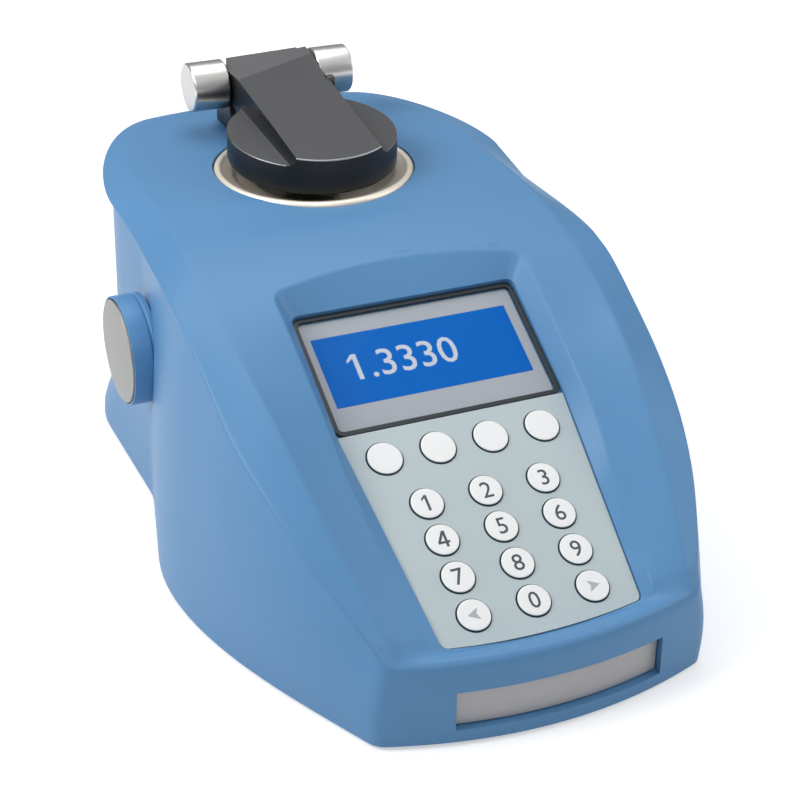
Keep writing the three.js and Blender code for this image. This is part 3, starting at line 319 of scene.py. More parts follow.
# How far the rear plan has gone from the boxy heel to the oval, at shares of the wall.
heel_at = [0, 0.055, 0.2, 0.33, 1]
heel_shares = [0, 0.05, 0.6, 0.9, 1]
# How far the top's middle lies over its edges, or under them, from front to rear.
crown_y = [-126, -119, -114, -105.4, -93.4, -78.4, -55.4, -37.3, -19.4, -3.4, 12.7, 24]
crown_y.append(128.6)
crown_dip = [0, -2.1, -5.4, -12, -13.5, -12.5, -10.5, -4.5, -0.6, 0.7, 0.8, 0, 0]


def spline_point(points, share):
    """A point on the centripetal spline through the points."""
    place = share * (len(points) - 1)
    k = min(int(place), len(points) - 2)
    before = points[k - 1] if k else 2 * points[0] - points[1]
    after = points[k + 2] if k + 2 < len(points) else 2 * points[-1] - points[-2]
    row = np.array([before, points[k], points[k + 1], after])
    gaps = np.sqrt(np.linalg.norm(np.diff(row, axis=0), axis=1))
    slopes = np.diff(row, axis=0) / gaps[:, None]
    wide = (row[2:] - row[:-2]) / (gaps[:-1] + gaps[1:])[:, None]
    start = (slopes[0] - wide[0] + slopes[1]) * gaps[1]
    end = (slopes[1] - wide[1] + slopes[2]) * gaps[1]
    t = place - k
    bend = 3 * (row[2] - row[1]) - 2 * start - end
    twist = 2 * (row[1] - row[2]) + start + end
    return row[1] + start * t + bend * t**2 + twist * t**3


def half_loop(stretches, steps):
    """Samples half an outline. Each stretch starts where the last one ends."""
    line = [np.array(stretches[0][0], float)]
    for stretch, count in zip(stretches, steps):
        points = [np.array(p, float) for p in stretch]
        if stretch is not stretches[0]:
            points.insert(0, line[-1])
        for k in range(1, count + 1):
            t = k / count
            if len(points) > 4:
                line.append(spline_point(points, t))
                continue
            row = points
            while len(row) > 1:
                row = [a + (b - a) * t for a, b in zip(row, row[1:])]
            line.append(row[0])
    return np.array(line)


def mirrored(half):
    """Adds the left half to a right half that starts and ends on x = 0."""
    left = half[1:-1][::-1] * (-1, 1, 1)
    return np.concatenate([half, left])


def wall_ring(share, steps):
    """Half a ring of the wall, a share of the way from the base up to the eave."""
    low = half_loop(base_loop, steps)
    high = half_loop(eave_loop, steps)
    rear_start = sum(steps[:5])
    index = np.arange(len(low))
    heel = np.interp(share, heel_at, heel_shares)
    reach = np.clip((index - rear_start) / steps[5], 0, 1)
    shares = share + (heel - share) * reach
    ring = low + (high - low) * shares[:, None]
    ring[:, 2] = low[:, 2] + (high[:, 2] - low[:, 2]) * share
    fullness = math.sin(math.pi * share) * np.sin(np.pi * index / rear_start)
    ring[:, 0] += wall_swell * fullness * (index < rear_start)
    return ring


def inward(half, distance):
    """Moves half a ring inward in plan."""
    around = np.concatenate([half[1:2] * (-1, 1, 1), half, half[-2:-1] * (-1, 1, 1)])
    along = around[2:, :2] - around[:-2, :2]
    along /= np.linalg.norm(along, axis=1)[:, None]
    moved = half.copy()
    moved[:, 0] -= along[:, 1] * distance
    moved[:, 1] += along[:, 0] * distance
    moved[[0, -1], 0] = 0
    return moved


# The dip every half millimetre, smoothed over 4 mm.
fine_y = np.linspace(-130, 130, 521)
spread_reach = 24
spread = np.exp(-0.5 * (np.arange(-spread_reach, spread_reach + 1) / 8) ** 2)
padded_dip = np.pad(np.interp(fine_y, crown_y, crown_dip), spread_reach, mode="edge")
smooth_dip = np.convolve(padded_dip, spread / spread.sum(), "valid")


def top_height(points, edge):
    """The height of the top inside the crease at some points."""
    half = np.interp(points[:, 1], edge[:, 1], edge[:, 0])
    level = np.interp(points[:, 1], edge[:, 1], edge[:, 2])
    across = np.clip(np.abs(points[:, 0]) / np.maximum(half, 1e-6), 0, 1)
    return level + np.interp(points[:, 1], fine_y, smooth_dip) * (1 - across**2)


def softened(line, radius, stops):
    """Rounds the corners of a profile and samples it between its stops."""
    spacing = 0.35
    gaps = np.linalg.norm(np.diff(line, axis=0), axis=1)
    lengths = np.concatenate([[0], np.cumsum(gaps)])
    places = np.arange(0, lengths[-1] + spacing / 2, spacing)
    even = np.array([np.interp(places, lengths, column) for column in line.T]).T
    reach = int(3 * radius / spacing)
    before = 2 * even[0] - even[reach:0:-1]
    after = 2 * even[-1] - even[-2 : -reach - 2 : -1]
    padded = np.concatenate([before, even, after])
    bell = np.exp(-0.5 * (np.arange(-reach, reach + 1) * spacing / radius) ** 2)
    bell /= bell.sum()
    soft = np.array([np.convolve(column, bell, "valid") for column in padded.T])
    picked = []
    for (start, offset), (end, end_offset), count in stops:
        low = lengths[start] + offset
        high = lengths[end] + end_offset
        picked.extend(low + (high - low) * k / count for k in range(count))
    picked.append(lengths[-1])
    picked = np.clip(picked, 0, places[-1])
    return np.array([np.interp(picked, places, column) for column in soft]).T


def ring_faces(levels, count):
    """The foot and the walls of rings that stand one above another."""
    faces = [tuple(range(count - 1, -1, -1))]
    for low in range(0, (levels - 1) * count, count):
        for i in range(count):
            j = (i + 1) % count
            faces.append((low + i, low + j, low + j + count, low + i + count))
    return faces


def skin_mesh(rings, rows):
    """A closed skin: rings from the foot up, a flat foot, and rows across the top."""
    count = len(rings[0])
    points = [p for ring in rings for p in ring]
    faces = ring_faces(len(rings), count)
    last = (len(rings) - 1) * count
    lines = []
    for index, row in enumerate(rows):
        left = last + (count - index) % count
        middle = list(range(len(points), len(points) + len(row)))
        points.extend(row)
        lines.append([left, *middle, last + index])
    for low, high in zip(lines, lines[1:]):
        if len(low) == 2:
            low = [low[0]] * len(high)
        if len(high) == 2:
            high = [high[0]] * len(low)
        for j in range(len(low) - 1):
            face = tuple(dict.fromkeys([low[j], low[j + 1], high[j + 1], high[j]]))
            if len(face) > 2:
                faces.append(face)
    return points, faces


def plain_mesh(piece):
    """The mesh of an object as it stands, with its modifiers worked in."""
    bpy.context.view_layer.update()
    scene_now = bpy.context.evaluated_depsgraph_get()
    return bpy.data.meshes.new_from_object(piece.evaluated_get(scene_now))


def settle(piece):
    """Turns a piece's modifiers into its plain mesh."""
    mesh = plain_mesh(piece)
    piece.modifiers.clear()
    piece.data = mesh
    return piece


def combine(piece, other, operation="DIFFERENCE"):
    """Cuts another shape out of a piece, or joins or intersects them."""
    modifier = piece.modifiers.new("combine", "BOOLEAN")
    modifier.solver = "MANIFOLD"
    modifier.operation = operation
    modifier.object = other
    settle(piece)
    bpy.data.objects.remove(other)
    return piece


def rows_across(loop, edge, columns):
    """Rows of points across the top, from the left edge to the right one."""
    rows = []
    for index, (x, y, _) in enumerate(loop):
        if index in (0, len(loop) - 1):
            rows.append([])
            continue
        across = x * (2 * np.arange(1, columns) / columns - 1)
        row = np.stack([across, np.full(columns - 1, y), np.zeros(columns - 1)], 1)
        row[:, 2] = top_height(row, edge)
        rows.append(list(row))
    return rows


def outer_skin():
    """The housing's outside, with soft creases."""
    walls = [wall_ring(share, fine_steps) for share in np.linspace(0, 1, wall_rings)]
    shoulder = half_loop(shoulder_loop, fine_steps)
    crease = half_loop(crease_loop, fine_steps)
    edge = crease.copy()
    insets = [inward(crease, distance) for distance in top_insets]
    for ring in insets:
        ring[:, 2] = top_height(ring, edge)
    lines = np.array([*walls, shoulder, crease, *insets])
    around = np.concatenate(
        [lines[:, 1:2] * (-1, 1, 1), lines, lines[:, -2:-1] * (-1, 1, 1)], axis=1
    )
    lines = (around[:, :-2] + 2 * around[:, 1:-1] + around[:, 2:]) / 4
    # The corners from under the eave to the top are softened. Each stop is a stretch from
    # beside one of the lines to beside another, and the number of rings on it.
    soft_from = wall_rings - 5
    eave, brow, fold = 4, 5, 6
    stops = [
        ((0, 0), (eave, -brow_reach), 6),
        ((eave, -brow_reach), (brow, brow_reach), 9),
        ((brow, brow_reach), (fold, -fold_reach), 4),
        ((fold, -fold_reach), (fold, fold_reach), 7),
        ((fold, fold_reach), (fold + len(insets), 0), 3),
    ]
    front = sum(fine_steps[:2])
    around_at = np.arange(lines.shape[1])
    softness = np.interp(
        around_at, [front - 10, front + 2], [front_softness, side_softness]
    )
    columns = [
        softened(column, soft, stops)
        for column, soft in zip(lines[soft_from:].swapaxes(0, 1), softness)
    ]
    rings = [*lines[:soft_from], *np.array(columns).swapaxes(0, 1)]
    for ring in rings:
        ring[[0, -1], 0] = 0
    rows = rows_across(rings[-1], edge, top_columns)
    return skin_mesh([mirrored(ring) for ring in rings], rows)


def inner_skin():
    """The outside moved in by the wall, open below the base."""
    rings = []
    for share in (0, 0.2, 0.6, 1):
        ring = inward(wall_ring(share, coarse_steps), wall)
        ring[:, 2] -= share * wall / 2
        rings.append(ring)
    crease = inward(half_loop(crease_loop, coarse_steps), wall * 0.8)
    crease[:, 2] -= wall
    rings.append(crease)
    below = rings[0].copy()
    below[:, 2] = -overrun
    rows = rows_across(crease, crease, 6)
    return skin_mesh([mirrored(ring) for ring in [below, *rings]], rows)


housing = new_piece("upper_housing_moulding", *outer_skin())
skin_faces = [tuple(p.vertices) for p in housing.data.polygons]
skin_tree = BVHTree.FromPolygons([v.co / MM for v in housing.data.vertices], skin_faces)


# The recess of the keypad face, in the face's own x, y and height.
face_slope = math.radians(29)
face_frame = Matrix.Translation((0, -77.6, 48.2)) @ Matrix.Rotation(face_slope, 4, "X")
face_top = 70.9
face_bottom = 45.4
face_bow = 2
face_top_half = 37.4
face_bottom_half = 31.9
face_corner = 3
label_thickness = 1
display_foot = 27.6
step_foot = 0.8
step_head = 1.5
rim_reach = 0.7
cutter_top = 30
face_steps = [12, 8, 12, 12, 10, 16]


def on_face(points):
    """Turns points of the face's own frame into the housing's."""
    return [face_frame @ Vector(p) for p in points]


def label_half(grow, height, head_height=None):
    """Half of the label's outline at one height, from its foot to its head."""
    head_height = height if head_height is None else head_height
    foot = -face_bottom - grow
    head = face_top + grow
    low = face_bottom_half + grow
    high = face_top_half + grow
    stretches = [
        [
            [0, foot - face_bow, height],
            [low / 2, foot - face_bow, height],
            [low - face_corner, foot, height],
        ],
        [[low, foot, height], [low, foot + face_corner, height]],
        [[high, display_foot, height]],
        [[high, head - face_corner, head_height]],
        [[high, head, head_height], [high - face_corner, head, head_height]],
        [[0, head, head_height]],
    ]
    return half_loop(stretches, face_steps)


def rim_half():
    """Half of the recess's rim in plan, where its bevels meet the top."""
    stretches = [
        [[0, -48.6, 0], [17, -48.6, 0], [30, -46.8, 0]],
        [[34.6, -46.2, 0], [35.1, -43.5, 0]],
        [
            [37.5, -26.9, 0],
            [39.3, -12.7, 0],
            [39.8, 0.8, 0],
            [40.9, 9.2, 0],
            [41.3, 27.6, 0],
        ],
        [[41.7, 50, 0], [42, 66, 0], [41.9, 73.5, 0]],
        [[41.8, 77.6, 0], [38.4, 78.7, 0]],
        [[20, 83.7, 0], [0, 83.7, 0]],
    ]
    return half_loop(stretches, face_steps)


def skin_height(point):
    """The skin's height over the face at a point of its plan."""
    start = face_frame @ Vector((point[0], point[1], 40))
    aim = face_frame.to_3x3() @ Vector((0, 0, -1))
    hit = skin_tree.ray_cast(start, aim)[0]
    return (face_frame.inverted() @ hit)[2]


def face_pocket(grow):
    """The recess over the label, or with grow the pan that carries it."""
    floor_ring = mirrored(label_half(grow + fit_gap, -label_thickness - fit_gap - grow))
    step = mirrored(label_half(grow + fit_gap, step_foot - grow, step_head - grow))
    rim = mirrored(rim_half())
    count = len(rim)
    rings = [floor_ring, step]
    sections = []
    for index in range(count):
        before, after = rim[index - 1], rim[(index + 1) % count]
        along = np.array([after[0] - before[0], after[1] - before[1]])
        along /= np.linalg.norm(along)
        out = np.array([along[1], -along[0]])
        near = rim[index, :2] + out * grow
        far = near + out * rim_reach
        top = np.array([*near, skin_height(near) - grow])
        step[index][2] = min(step[index][2], (top[2] + grow) * 0.5 - grow)
        if grow:
            sections.append([top, np.array([*near, cutter_top])])
            continue
        down = step[index] - top
        down *= min(0.8 / np.linalg.norm(down), 0.45)
        over = np.array([*far, skin_height(far) - grow]) - top
        start, end = top + down, top + over
        curve = []
        for t in (0, 0.3, 0.6, 0.9):
            curve.append(start * (1 - t) ** 2 + top * 2 * t * (1 - t) + end * t**2)
        curve.append(top + over * 1.15 + np.array([0, 0, 0.2]))
        curve.append(np.array([*(near + out * rim_reach * 2), cutter_top]))
        sections.append(curve)
    rings.extend(np.array(sections).swapaxes(0, 1))
    points = [p for ring in rings for p in on_face(ring)]
    faces = ring_faces(len(rings), count)
    last = (len(rings) - 1) * count
    faces.append(tuple(range(last, last + count)))
    return new_piece("recess", points, faces)


def arc(middle, radius, start, end, steps):
    """Points round a middle from one angle to another."""
    points = []
    for k in range(steps + 1):
        angle = start + (end - start) * k / steps
        x, y = radius * math.cos(angle), radius * math.sin(angle)
        points.append((middle[0] + x, middle[1] + y))
    return points


# Which of a flat shape's x, y and height lie along X, Y and Z.
axis_order = {"X": (2, 0, 1), "Y": (1, 2, 0), "Z": (0, 1, 2)}


def slab(name, outline, low, high, axis="Z"):
    """A flat outline, counter-clockwise, drawn along an axis between two places."""
    count = len(outline)
    flat = [(x, y, z) for z in (low, high) for x, y in outline]
    faces = ring_faces(2, count)
    faces.insert(1, tuple(range(count, 2 * count)))
    return new_piece(name, [[p[i] for i in axis_order[axis]] for p in flat], faces)


def bar(name, radius, start, end, middle, axis="Z", sides=96):
    """A round bar along an axis between two places on it."""
    return slab(name, arc(middle, radius, 0, 2 * math.pi, sides)[:-1], start, end, axis)


def box_outline(x0, x1, y0, y1, corner=0, steps=6):
    """A rectangle's outline with rounded corners."""
    if not corner:
        return [(x0, y0), (x1, y0), (x1, y1), (x0, y1)]
    line = []
    centres = [(x1 - corner, y0 + corner), (x1 - corner, y1 - corner)]
    centres += [(x0 + corner, y1 - corner), (x0 + corner, y0 + corner)]
    for quarter, centre in enumerate(centres):
        start = math.pi / 2 * (quarter - 1)
        line += arc(centre, corner, start, start + math.pi / 2, steps)
    return line


def place(piece, matrix):
    """Puts a matrix, in millimetres, into a piece's mesh."""
    scaled = matrix.copy()
    scaled.translation = matrix.translation * MM
    piece.data.transform(scaled)
    return piece


plate_half = 32.7
plate_shift = 2.2
plate_foot = 4.5
plate_height = 11.9
plate_thickness = 0.7
pocket_depth = 3.4
pocket_margin = 0.5
front_line = half_loop(base_loop[:1], [40])


def front_slab(name, half, low, high, near, far, steps=40):
    """A curved slab between two depths behind the front wall."""
    across = plate_shift + half * (2 * np.arange(steps + 1) / steps - 1)
    depth = np.interp(np.abs(across), front_line[:, 0], front_line[:, 1])
    outline = [(x, y + near) for x, y in zip(across, depth)]
    outline += [(x, y + far) for x, y in zip(across[::-1], depth[::-1])]
    return slab(name, outline, low, high)


dish_y = 59.7
dish_radius = 34
dish_lip = 100.1
dish_flange = 2.9
dish_under = 92.2
collar_floor = dish_lip - dish_flange - 3 * fit_gap - 0.3
collar_top = 99.8
collar_wall = 4.3
dish_hole = 28.5
cap_bore = (27.4, 60)
cap_radius = 17.8
canister_radius = 12.6
panel_half = 38
panel_foot = 10
panel_head = 46
panel_face = 122
bay_wall = 3.4
boss_places = [(51, -104.1), (60, 68.6)]
boss_tops = [21, 30]
boss_foot = 3.1
boss_radius = 5
screw_bore = 2.1

outer_copy = put_in("outer_copy", housing.data.copy())
combine(housing, new_piece("inner_skin", *inner_skin()))
# What is moulded inside the wall: the dish's collar, the canister's sleeve, the keypad's
# pan, the bay for the rear panel, the pocket's backing, and bosses with a rib each.
dish_middle = (0, dish_y)
inner_parts = bar("collar", dish_radius + collar_wall, dish_under, collar_top, dish_middle)
sleeve = bar("sleeve", canister_radius + collar_wall, -70.1, -61.1, cap_bore, "X")
bay_outline = box_outline(-panel_half - bay_wall, panel_half + bay_wall, 117, 130)
bay = slab("bay", bay_outline, panel_foot - bay_wall, panel_head + bay_wall)
backing = front_slab("backing", plate_half + 3.5, boss_foot, 19.9, 0, 5)
for part in (sleeve, face_pocket(wall), bay, backing):
    combine(inner_parts, part, "UNION")
for (x, y), top in zip(boss_places, boss_tops):
    for side in (-1, 1):
        post = bar("boss", boss_radius, boss_foot, top, (side * x, y), sides=32)
        rib = slab("rib", box_outline(x, half_width, y - 1, y + 1), boss_foot, top)
        if side < 0:
            place(rib, Matrix.Translation((-x - half_width, 0, 0)))
        combine(inner_parts, post, "UNION")
        combine(inner_parts, rib, "UNION")
combine(inner_parts, outer_copy, "INTERSECT")
combine(housing, inner_parts, "UNION")

combine(housing, face_pocket(0))
# Openings in the pan's floor for the keys, the four keys over them, and the display.
wells = [
    box_outline(-25.3, 25.3, -43.8, 6.3, 2),
    box_outline(-32.65, 32.65, 10.7, 24.1, 2),
    box_outline(-33, 33, 32, 66.5, 1.5),
]
for outline in wells:
    combine(housing, place(slab("well", outline, -11.3, -0.3), face_frame))
combine(housing, bar("dish_seat", dish_radius + fit_gap, collar_floor, 104, dish_middle))
combine(housing, bar("dish_hole", dish_hole, 88, 100, dish_middle))
plate_pocket = front_slab(
    "plate_pocket",
    plate_half + pocket_margin,
    plate_foot - pocket_margin,
    plate_foot + plate_height + pocket_margin,
    -overrun,
    pocket_depth,
)
combine(housing, plate_pocket)
canister_hole = bar("canister_hole", canister_radius + fit_gap, -74, -56, cap_bore, "X")
combine(housing, canister_hole)
combine(housing, bar("cap_seat", cap_radius + fit_gap, -86, -70.4, cap_bore, "X"))
seat_half = panel_half + fit_gap
seat_foot = panel_foot - fit_gap
seat_outline = box_outline(-seat_half, seat_half, seat_foot, panel_head + fit_gap, 1.5)
panel_seat = slab("panel_seat", seat_outline, -130, -119.7)
combine(housing, place(panel_seat, Matrix.Rotation(math.pi / 2, 4, "X")))
combine(housing, slab("bay_mouth", box_outline(-35, 35, 100, 130), 13, 43))
for x, y in boss_places:
    for side in (-1, 1):
        combine(housing, bar("boss_bore", screw_bore, 1, 15, (side * x, y), sides=24))
place(housing, Matrix.Translation((0, 0, foot_lift)))


def shade_soft(piece, degrees=30):
    """Smooth shading, with the edges sharper than an angle kept crisp."""
    mesh = piece.data
    mesh.polygons.foreach_set("use_smooth", [True] * len(mesh.polygons))
    mesh.set_sharp_from_angle(angle=math.radians(degrees))
    return piece


def fit_out(piece, body, material, nodes=(), degrees=30):
    """Gives a finished piece its material and its body, and hides the CAD nodes that it
    stands for.
    """
    if material:
        piece.data.materials.clear()
        piece.data.materials.append(material)
    if not piece.data.has_custom_normals:
        shade_soft(piece, degrees)
    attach(piece, body)
    if nodes:
        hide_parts(*nodes)
    return piece


def new_finish(name, **sockets):
    """A material with one shader, whose sockets are set by name."""
    made = bpy.data.materials.new(name)
    tree = start_tree(made)
    values = {key.replace("_", " ").title(): value for key, value in sockets.items()}
    values = {key.replace("Ior", "IOR"): value for key, value in values.items()}
    shader = add_node(tree, "ShaderNodeBsdfPrincipled", values)
    add_node(tree, "ShaderNodeOutputMaterial", {"Surface": shader.outputs[0]})
    return made, tree, shader


def add_grain(tree, shader, grain, relief, stretch):
    """A fine relief of a real grain size, both in millimetres, on the shader."""
    spot = add_node(tree, "ShaderNodeTexCoord").outputs["Object"]
    mapped = add_node(tree, "ShaderNodeMapping", {"Vector": spot, "Scale": stretch})
    noise = add_node(
        tree,
        "ShaderNodeTexNoise",
        {"Vector": mapped.outputs[0], "Scale": 1 / (grain * MM), "Detail": 2},
    )
    bump = add_node(
        tree,
        "ShaderNodeBump",
        {"Height": noise.outputs[0], "Strength": 1, "Distance": relief * MM},
    )
    tree.links.new(bump.outputs[0], shader.inputs["Normal"])
    return mapped


def vary(tree, shader, mapped, drift, colours, roughness):
    """A slow drift of colour and roughness over a surface."""
    patches = add_node(
        tree,
        "ShaderNodeTexNoise",
        {"Vector": mapped.outputs[0], "Scale": 1 / (drift * MM), "Detail": 3},
    )
    tint = add_node(
        tree,
        "ShaderNodeMix",
        {"Factor": patches.outputs[0], 6: linear(colours[0]), 7: linear(colours[1])},
        data_type="RGBA",
    )
    rough = add_node(
        tree,
        "ShaderNodeMapRange",
        {"Value": patches.outputs[0], "To Min": roughness[0], "To Max": roughness[1]},
    )
    tree.links.new(tint.outputs[2], shader.inputs["Base Color"])
    tree.links.new(rough.outputs[0], shader.inputs["Roughness"])


def grained_finish(
    name, colours, roughness, grain, relief, drift, stretch=(1, 1, 1), **sockets
):
    """A whole finish: its shader, a fine grain, and a drift between two colours."""
    made, tree, shader = new_finish(name, **sockets)
    mapped = add_grain(tree, shader, grain, relief, stretch)
    vary(tree, shader, mapped, drift, colours, roughness)
    return made


# Blue ABS, injection moulded in a spark-eroded tool: an even satin with a grain of about
# 0.3 mm, drawn at 0.7 mm so that it shows, and soft wide highlights.
blue_abs = grained_finish(
    "moulded satin blue ABS", ("#578bba", "#5b8fbe"), roughness=(0.4, 0.46),
    grain=0.7, relief=0.012, drift=35, ior=1.53, specular_ior_level=0.32,
)
fit_out(housing, "instrument", blue_abs, ["upper_housing"])


# Front plate
# A thin strip of satin anodised aluminium in the pocket of the front wall, bent to its
# curve and glued in. It is bare.
plate_near = pocket_depth - fit_gap - plate_thickness
front_plate = front_slab(
    "front_plate_strip",
    plate_half,
    plate_foot + foot_lift,
    plate_foot + plate_height + foot_lift,
    plate_near,
    plate_near + plate_thickness,
)


def bevelled(piece, width, segments=3, degrees=35):
    """Rounds a piece's edges, with its flat faces kept flat in shading."""
    shade_soft(piece, degrees)
    modifier = piece.modifiers.new("edges", "BEVEL")
    modifier.width = width * MM
    modifier.segments = segments
    modifier.limit_method = "ANGLE"
    modifier.angle_limit = math.radians(degrees)
    modifier.harden_normals = True
    return settle(piece)


bevelled(front_plate, 0.12, 2)
# Anodised aluminium, brushed along its length: a flat grey with fine streaks.
plate_finish = grained_finish(
    "brushed anodised aluminium", ("#aaa9ab", "#b4b3b5"), roughness=(0.55, 0.62),
    grain=0.5, relief=0.004, stretch=(0.04, 1, 1), drift=1.2, metallic=0.35,
)
fit_out(front_plate, "instrument", plate_finish, ["front_plate"])


# Keypad label and display border
# A reverse-printed polyester film, glued to the pan: grey-teal round the keys, and a
# dark border round the window. The keys come up through punched holes.
key_pitch = 19
row_pitch = 12.5
soft_pitch = 17.3
soft_row = 17.4
key_radius = 4.95
soft_radius = 5.35
key_ring = 0.45
lift_face = Matrix.Translation((0, 0, foot_lift)) @ face_frame
key_places = []
for row, names in enumerate(["1 2 3", "4 5 6", "7 8 9", "left 0 right"]):
    for column, name in enumerate(names.split()):
        x = (column - 1) * key_pitch
        key_places.append((name, x, -row * row_pitch, key_radius))
for column in range(4):
    x = (column - 1.5) * soft_pitch
    key_places.append((f"soft_{column + 1}", x, soft_row, soft_radius))

head_line = display_foot - fit_gap
below = [(x, y) for x, y, _ in mirrored(label_half(0, 0)) if y < head_line]
label_outline = [p for p in below if p[0] >= 0]
label_outline += [(face_top_half, head_line), (-face_top_half, head_line)]
label_outline += [p for p in below if p[0] < 0]
label = slab("keypad_film", label_outline, -label_thickness, 0)
for name, x, y, radius in key_places:
    combine(label, bar("hole", radius + key_ring, -3, 3, (x, y), sides=48))
place(bevelled(label, 0.12, 2), lift_face)
# Printed polyester film: matt lacquer over an even grey-teal ink.
label_film = grained_finish(
    "printed polyester film", ("#b2c0c4", "#b9c7cb"), roughness=(0.42, 0.48),
    grain=0.4, relief=0.003, drift=18, ior=1.58,
)
fit_out(label, "instrument", label_film, ["keypad_overlay"])

border = slab(
    "display_border",
    box_outline(-face_top_half, face_top_half, display_foot, face_top, face_corner, 8),
    -label_thickness,
    0,
)
combine(border, slab("window_cut", box_outline(-35.9, 35.9, 29.1, 69.4, 1.5), -3, 3))
place(bevelled(border, 0.12, 2), lift_face)
# The same film with its border printed in dark slate.
border_film = grained_finish(
    "printed slate polyester film", ("#1f282d", "#262f34"), roughness=(0.34, 0.4),
    grain=0.4, relief=0.003, drift=18, ior=1.58, specular_ior_level=0.3,
)
fit_out(border, "instrument", border_film, ["display_bezel"])


# Display
# A backlit graphic module screwed behind the pan, under a clear acrylic window: light
# grey strips at its head and foot, a blue field between them, and plain digits in it.
pane_outline = box_outline(-35.6, 35.6, 29.4, 69.1, 1.2)
window = slab("display_window_pane", pane_outline, -1, 0)
place(bevelled(window, 0.15, 2), lift_face)
# Cast acrylic, polished: clear, with a faint sheen.
acrylic = grained_finish(
    "polished clear acrylic", ("#2a3036", "#2e343a"), roughness=(0.08, 0.14),
    grain=20, relief=0.01, drift=30, ior=1.49, alpha=0.03,
)
fit_out(window, "instrument", acrylic, ["display_window"])

body_outline = box_outline(-37.4, 37.4, 27.6, 70.9, 1)
glass_outline = box_outline(-32.7, 32.7, 32.3, 66.2, 0.8)
module = slab("display_module_body", body_outline, -11.6, -4.9)
combine(module, slab("glass", glass_outline, -8, -1.3), "UNION")
place(bevelled(module, 0.2, 2), lift_face)
# The display's moulded carrier: black and matt, so that it doesn't show in the window.
carrier = grained_finish(
    "moulded black display carrier", ("#181a1b", "#1e2021"), roughness=(0.5, 0.6),
    grain=0.5, relief=0.01, drift=20, ior=1.5,
)
fit_out(module, "instrument", carrier, ["display_module"])


def lit_finish(name, colour, strength):
    """A backlit field of a display: an even colour, with a little light of its own."""
    return grained_finish(
        name, (colour, colour), roughness=(0.3, 0.34),
        grain=0.4, relief=0.001, drift=0.4, specular_ior_level=0.0,
        emission_color=linear(colour), emission_strength=strength,
    )


# A graphic display, its dots too fine to show, lit weakly from behind: flat, saturated
# fields and pale digits.
field_blue = lit_finish("backlit blue display field", "#1264bd", 0.15)
field_grey = lit_finish("backlit grey display field", "#acb2ba", 0.1)
digit_ink = lit_finish("light display digits", "#c4ccd6", 0.15)
grey_field = slab("display_grey_field", pane_outline, -1.28, -1.16)
place(bevelled(grey_field, 0.03, 1), lift_face)
fit_out(grey_field, "instrument", field_grey)
blue_outline = box_outline(-33.4, 32.2, 37.8, 63.2, 0.2)
blue_field = slab("display_blue_field", blue_outline, -1.15, -1.1)
place(bevelled(blue_field, 0.01, 1), lift_face)
fit_out(blue_field, "instrument", field_blue)

flag_reach = 0.15


def add_flag(mesh, edge, top, low, high):
    """The short flag at the head of a digit 1, against the left edge of its bar."""
    build = bmesh.new()
    build.from_mesh(mesh)
    tip = edge - flag_reach
    corners = [(edge, top), (tip, top - 0.15), (tip, top - 0.23), (edge, top - 0.12)]
    lower = [build.verts.new((a, b, low)) for a, b in corners]
    upper = [build.verts.new((a, b, high)) for a, b in corners]
    build.faces.new(upper)
    build.faces.new(lower[::-1])
    for k in range(4):
        following = (k + 1) % 4
        build.faces.new((lower[k], lower[following], upper[following], upper[k]))
    build.to_mesh(mesh)
    build.free()


def lettering(name, text, height, x, y, z, depth, weight):
    """Plain characters as a mesh in the face's own frame, centred on a point."""
    curve = bpy.data.curves.new(name, "FONT")
    curve.body = text
    curve.size = 1
    curve.resolution_u = 3
    curve.extrude = 0.02
    curve.offset = weight
    made = put_in(name, curve)
    mesh = plain_mesh(made)
    bpy.data.objects.remove(made)
    points = np.array([v.co[:] for v in mesh.vertices])
    low, high = points.min(0), points.max(0)
    if text.startswith("1"):
        add_flag(mesh, low[0], high[1], low[2], high[2])
    size = height / (high[1] - low[1])
    middle = (low + high) / 2
    for vertex in mesh.vertices:
        flat = (np.array(vertex.co[:]) - middle) * size
        height_up = z + (depth if flat[2] > 0 else 0)
        vertex.co = Vector((x + flat[0], y + flat[1], height_up)) * MM
    return put_in(name, mesh)


reading = lettering(
    "display_digits", "1.3330", height=9.6, x=-6, y=51, z=-1.09, depth=0.04, weight=0.005
)
place(reading, lift_face)
fit_out(reading, "instrument", digit_ink, degrees=20)


# Keys
# Sixteen round caps turned up through the label: twelve with plain digits or arrows, and
# four bare ones under the display. Each is white ABS with a printed mark.
key_rise = 0.7
ink_foot = key_rise + 0.005
ink_depth = 0.035
digit_height = 5.3


def turned(name, profile, centre=(0, 0), axis="Z", sides=64):
    """A turned piece. The profile lists radius and place along the axis; a profile that
    doesn't start and end on the axis is closed into a ring."""
    build = bmesh.new()
    rings = []
    for radius, height in profile:
        circle = arc(centre, radius, 0, 2 * math.pi, sides)[:-1] if radius else [centre]
        flat = [(x, y, height) for x, y in circle]
        ring = [build.verts.new([p[i] * MM for i in axis_order[axis]]) for p in flat]
        rings.append(ring)
    pairs = list(zip(rings, rings[1:]))
    if profile[0][0] and profile[-1][0]:
        pairs.append((rings[-1], rings[0]))
    for low, high in pairs:
        for k in range(sides if len(low) + len(high) > 2 else 0):
            j = (k + 1) % sides
            corners = [low[k % len(low)], low[j % len(low)]]
            corners += [high[j % len(high)], high[k % len(high)]]
            build.faces.new(dict.fromkeys(corners))
    bmesh.ops.recalc_face_normals(build, faces=build.faces)
    mesh = bpy.data.meshes.new(name)
    build.to_mesh(mesh)
    build.free()
    return put_in(name, mesh)


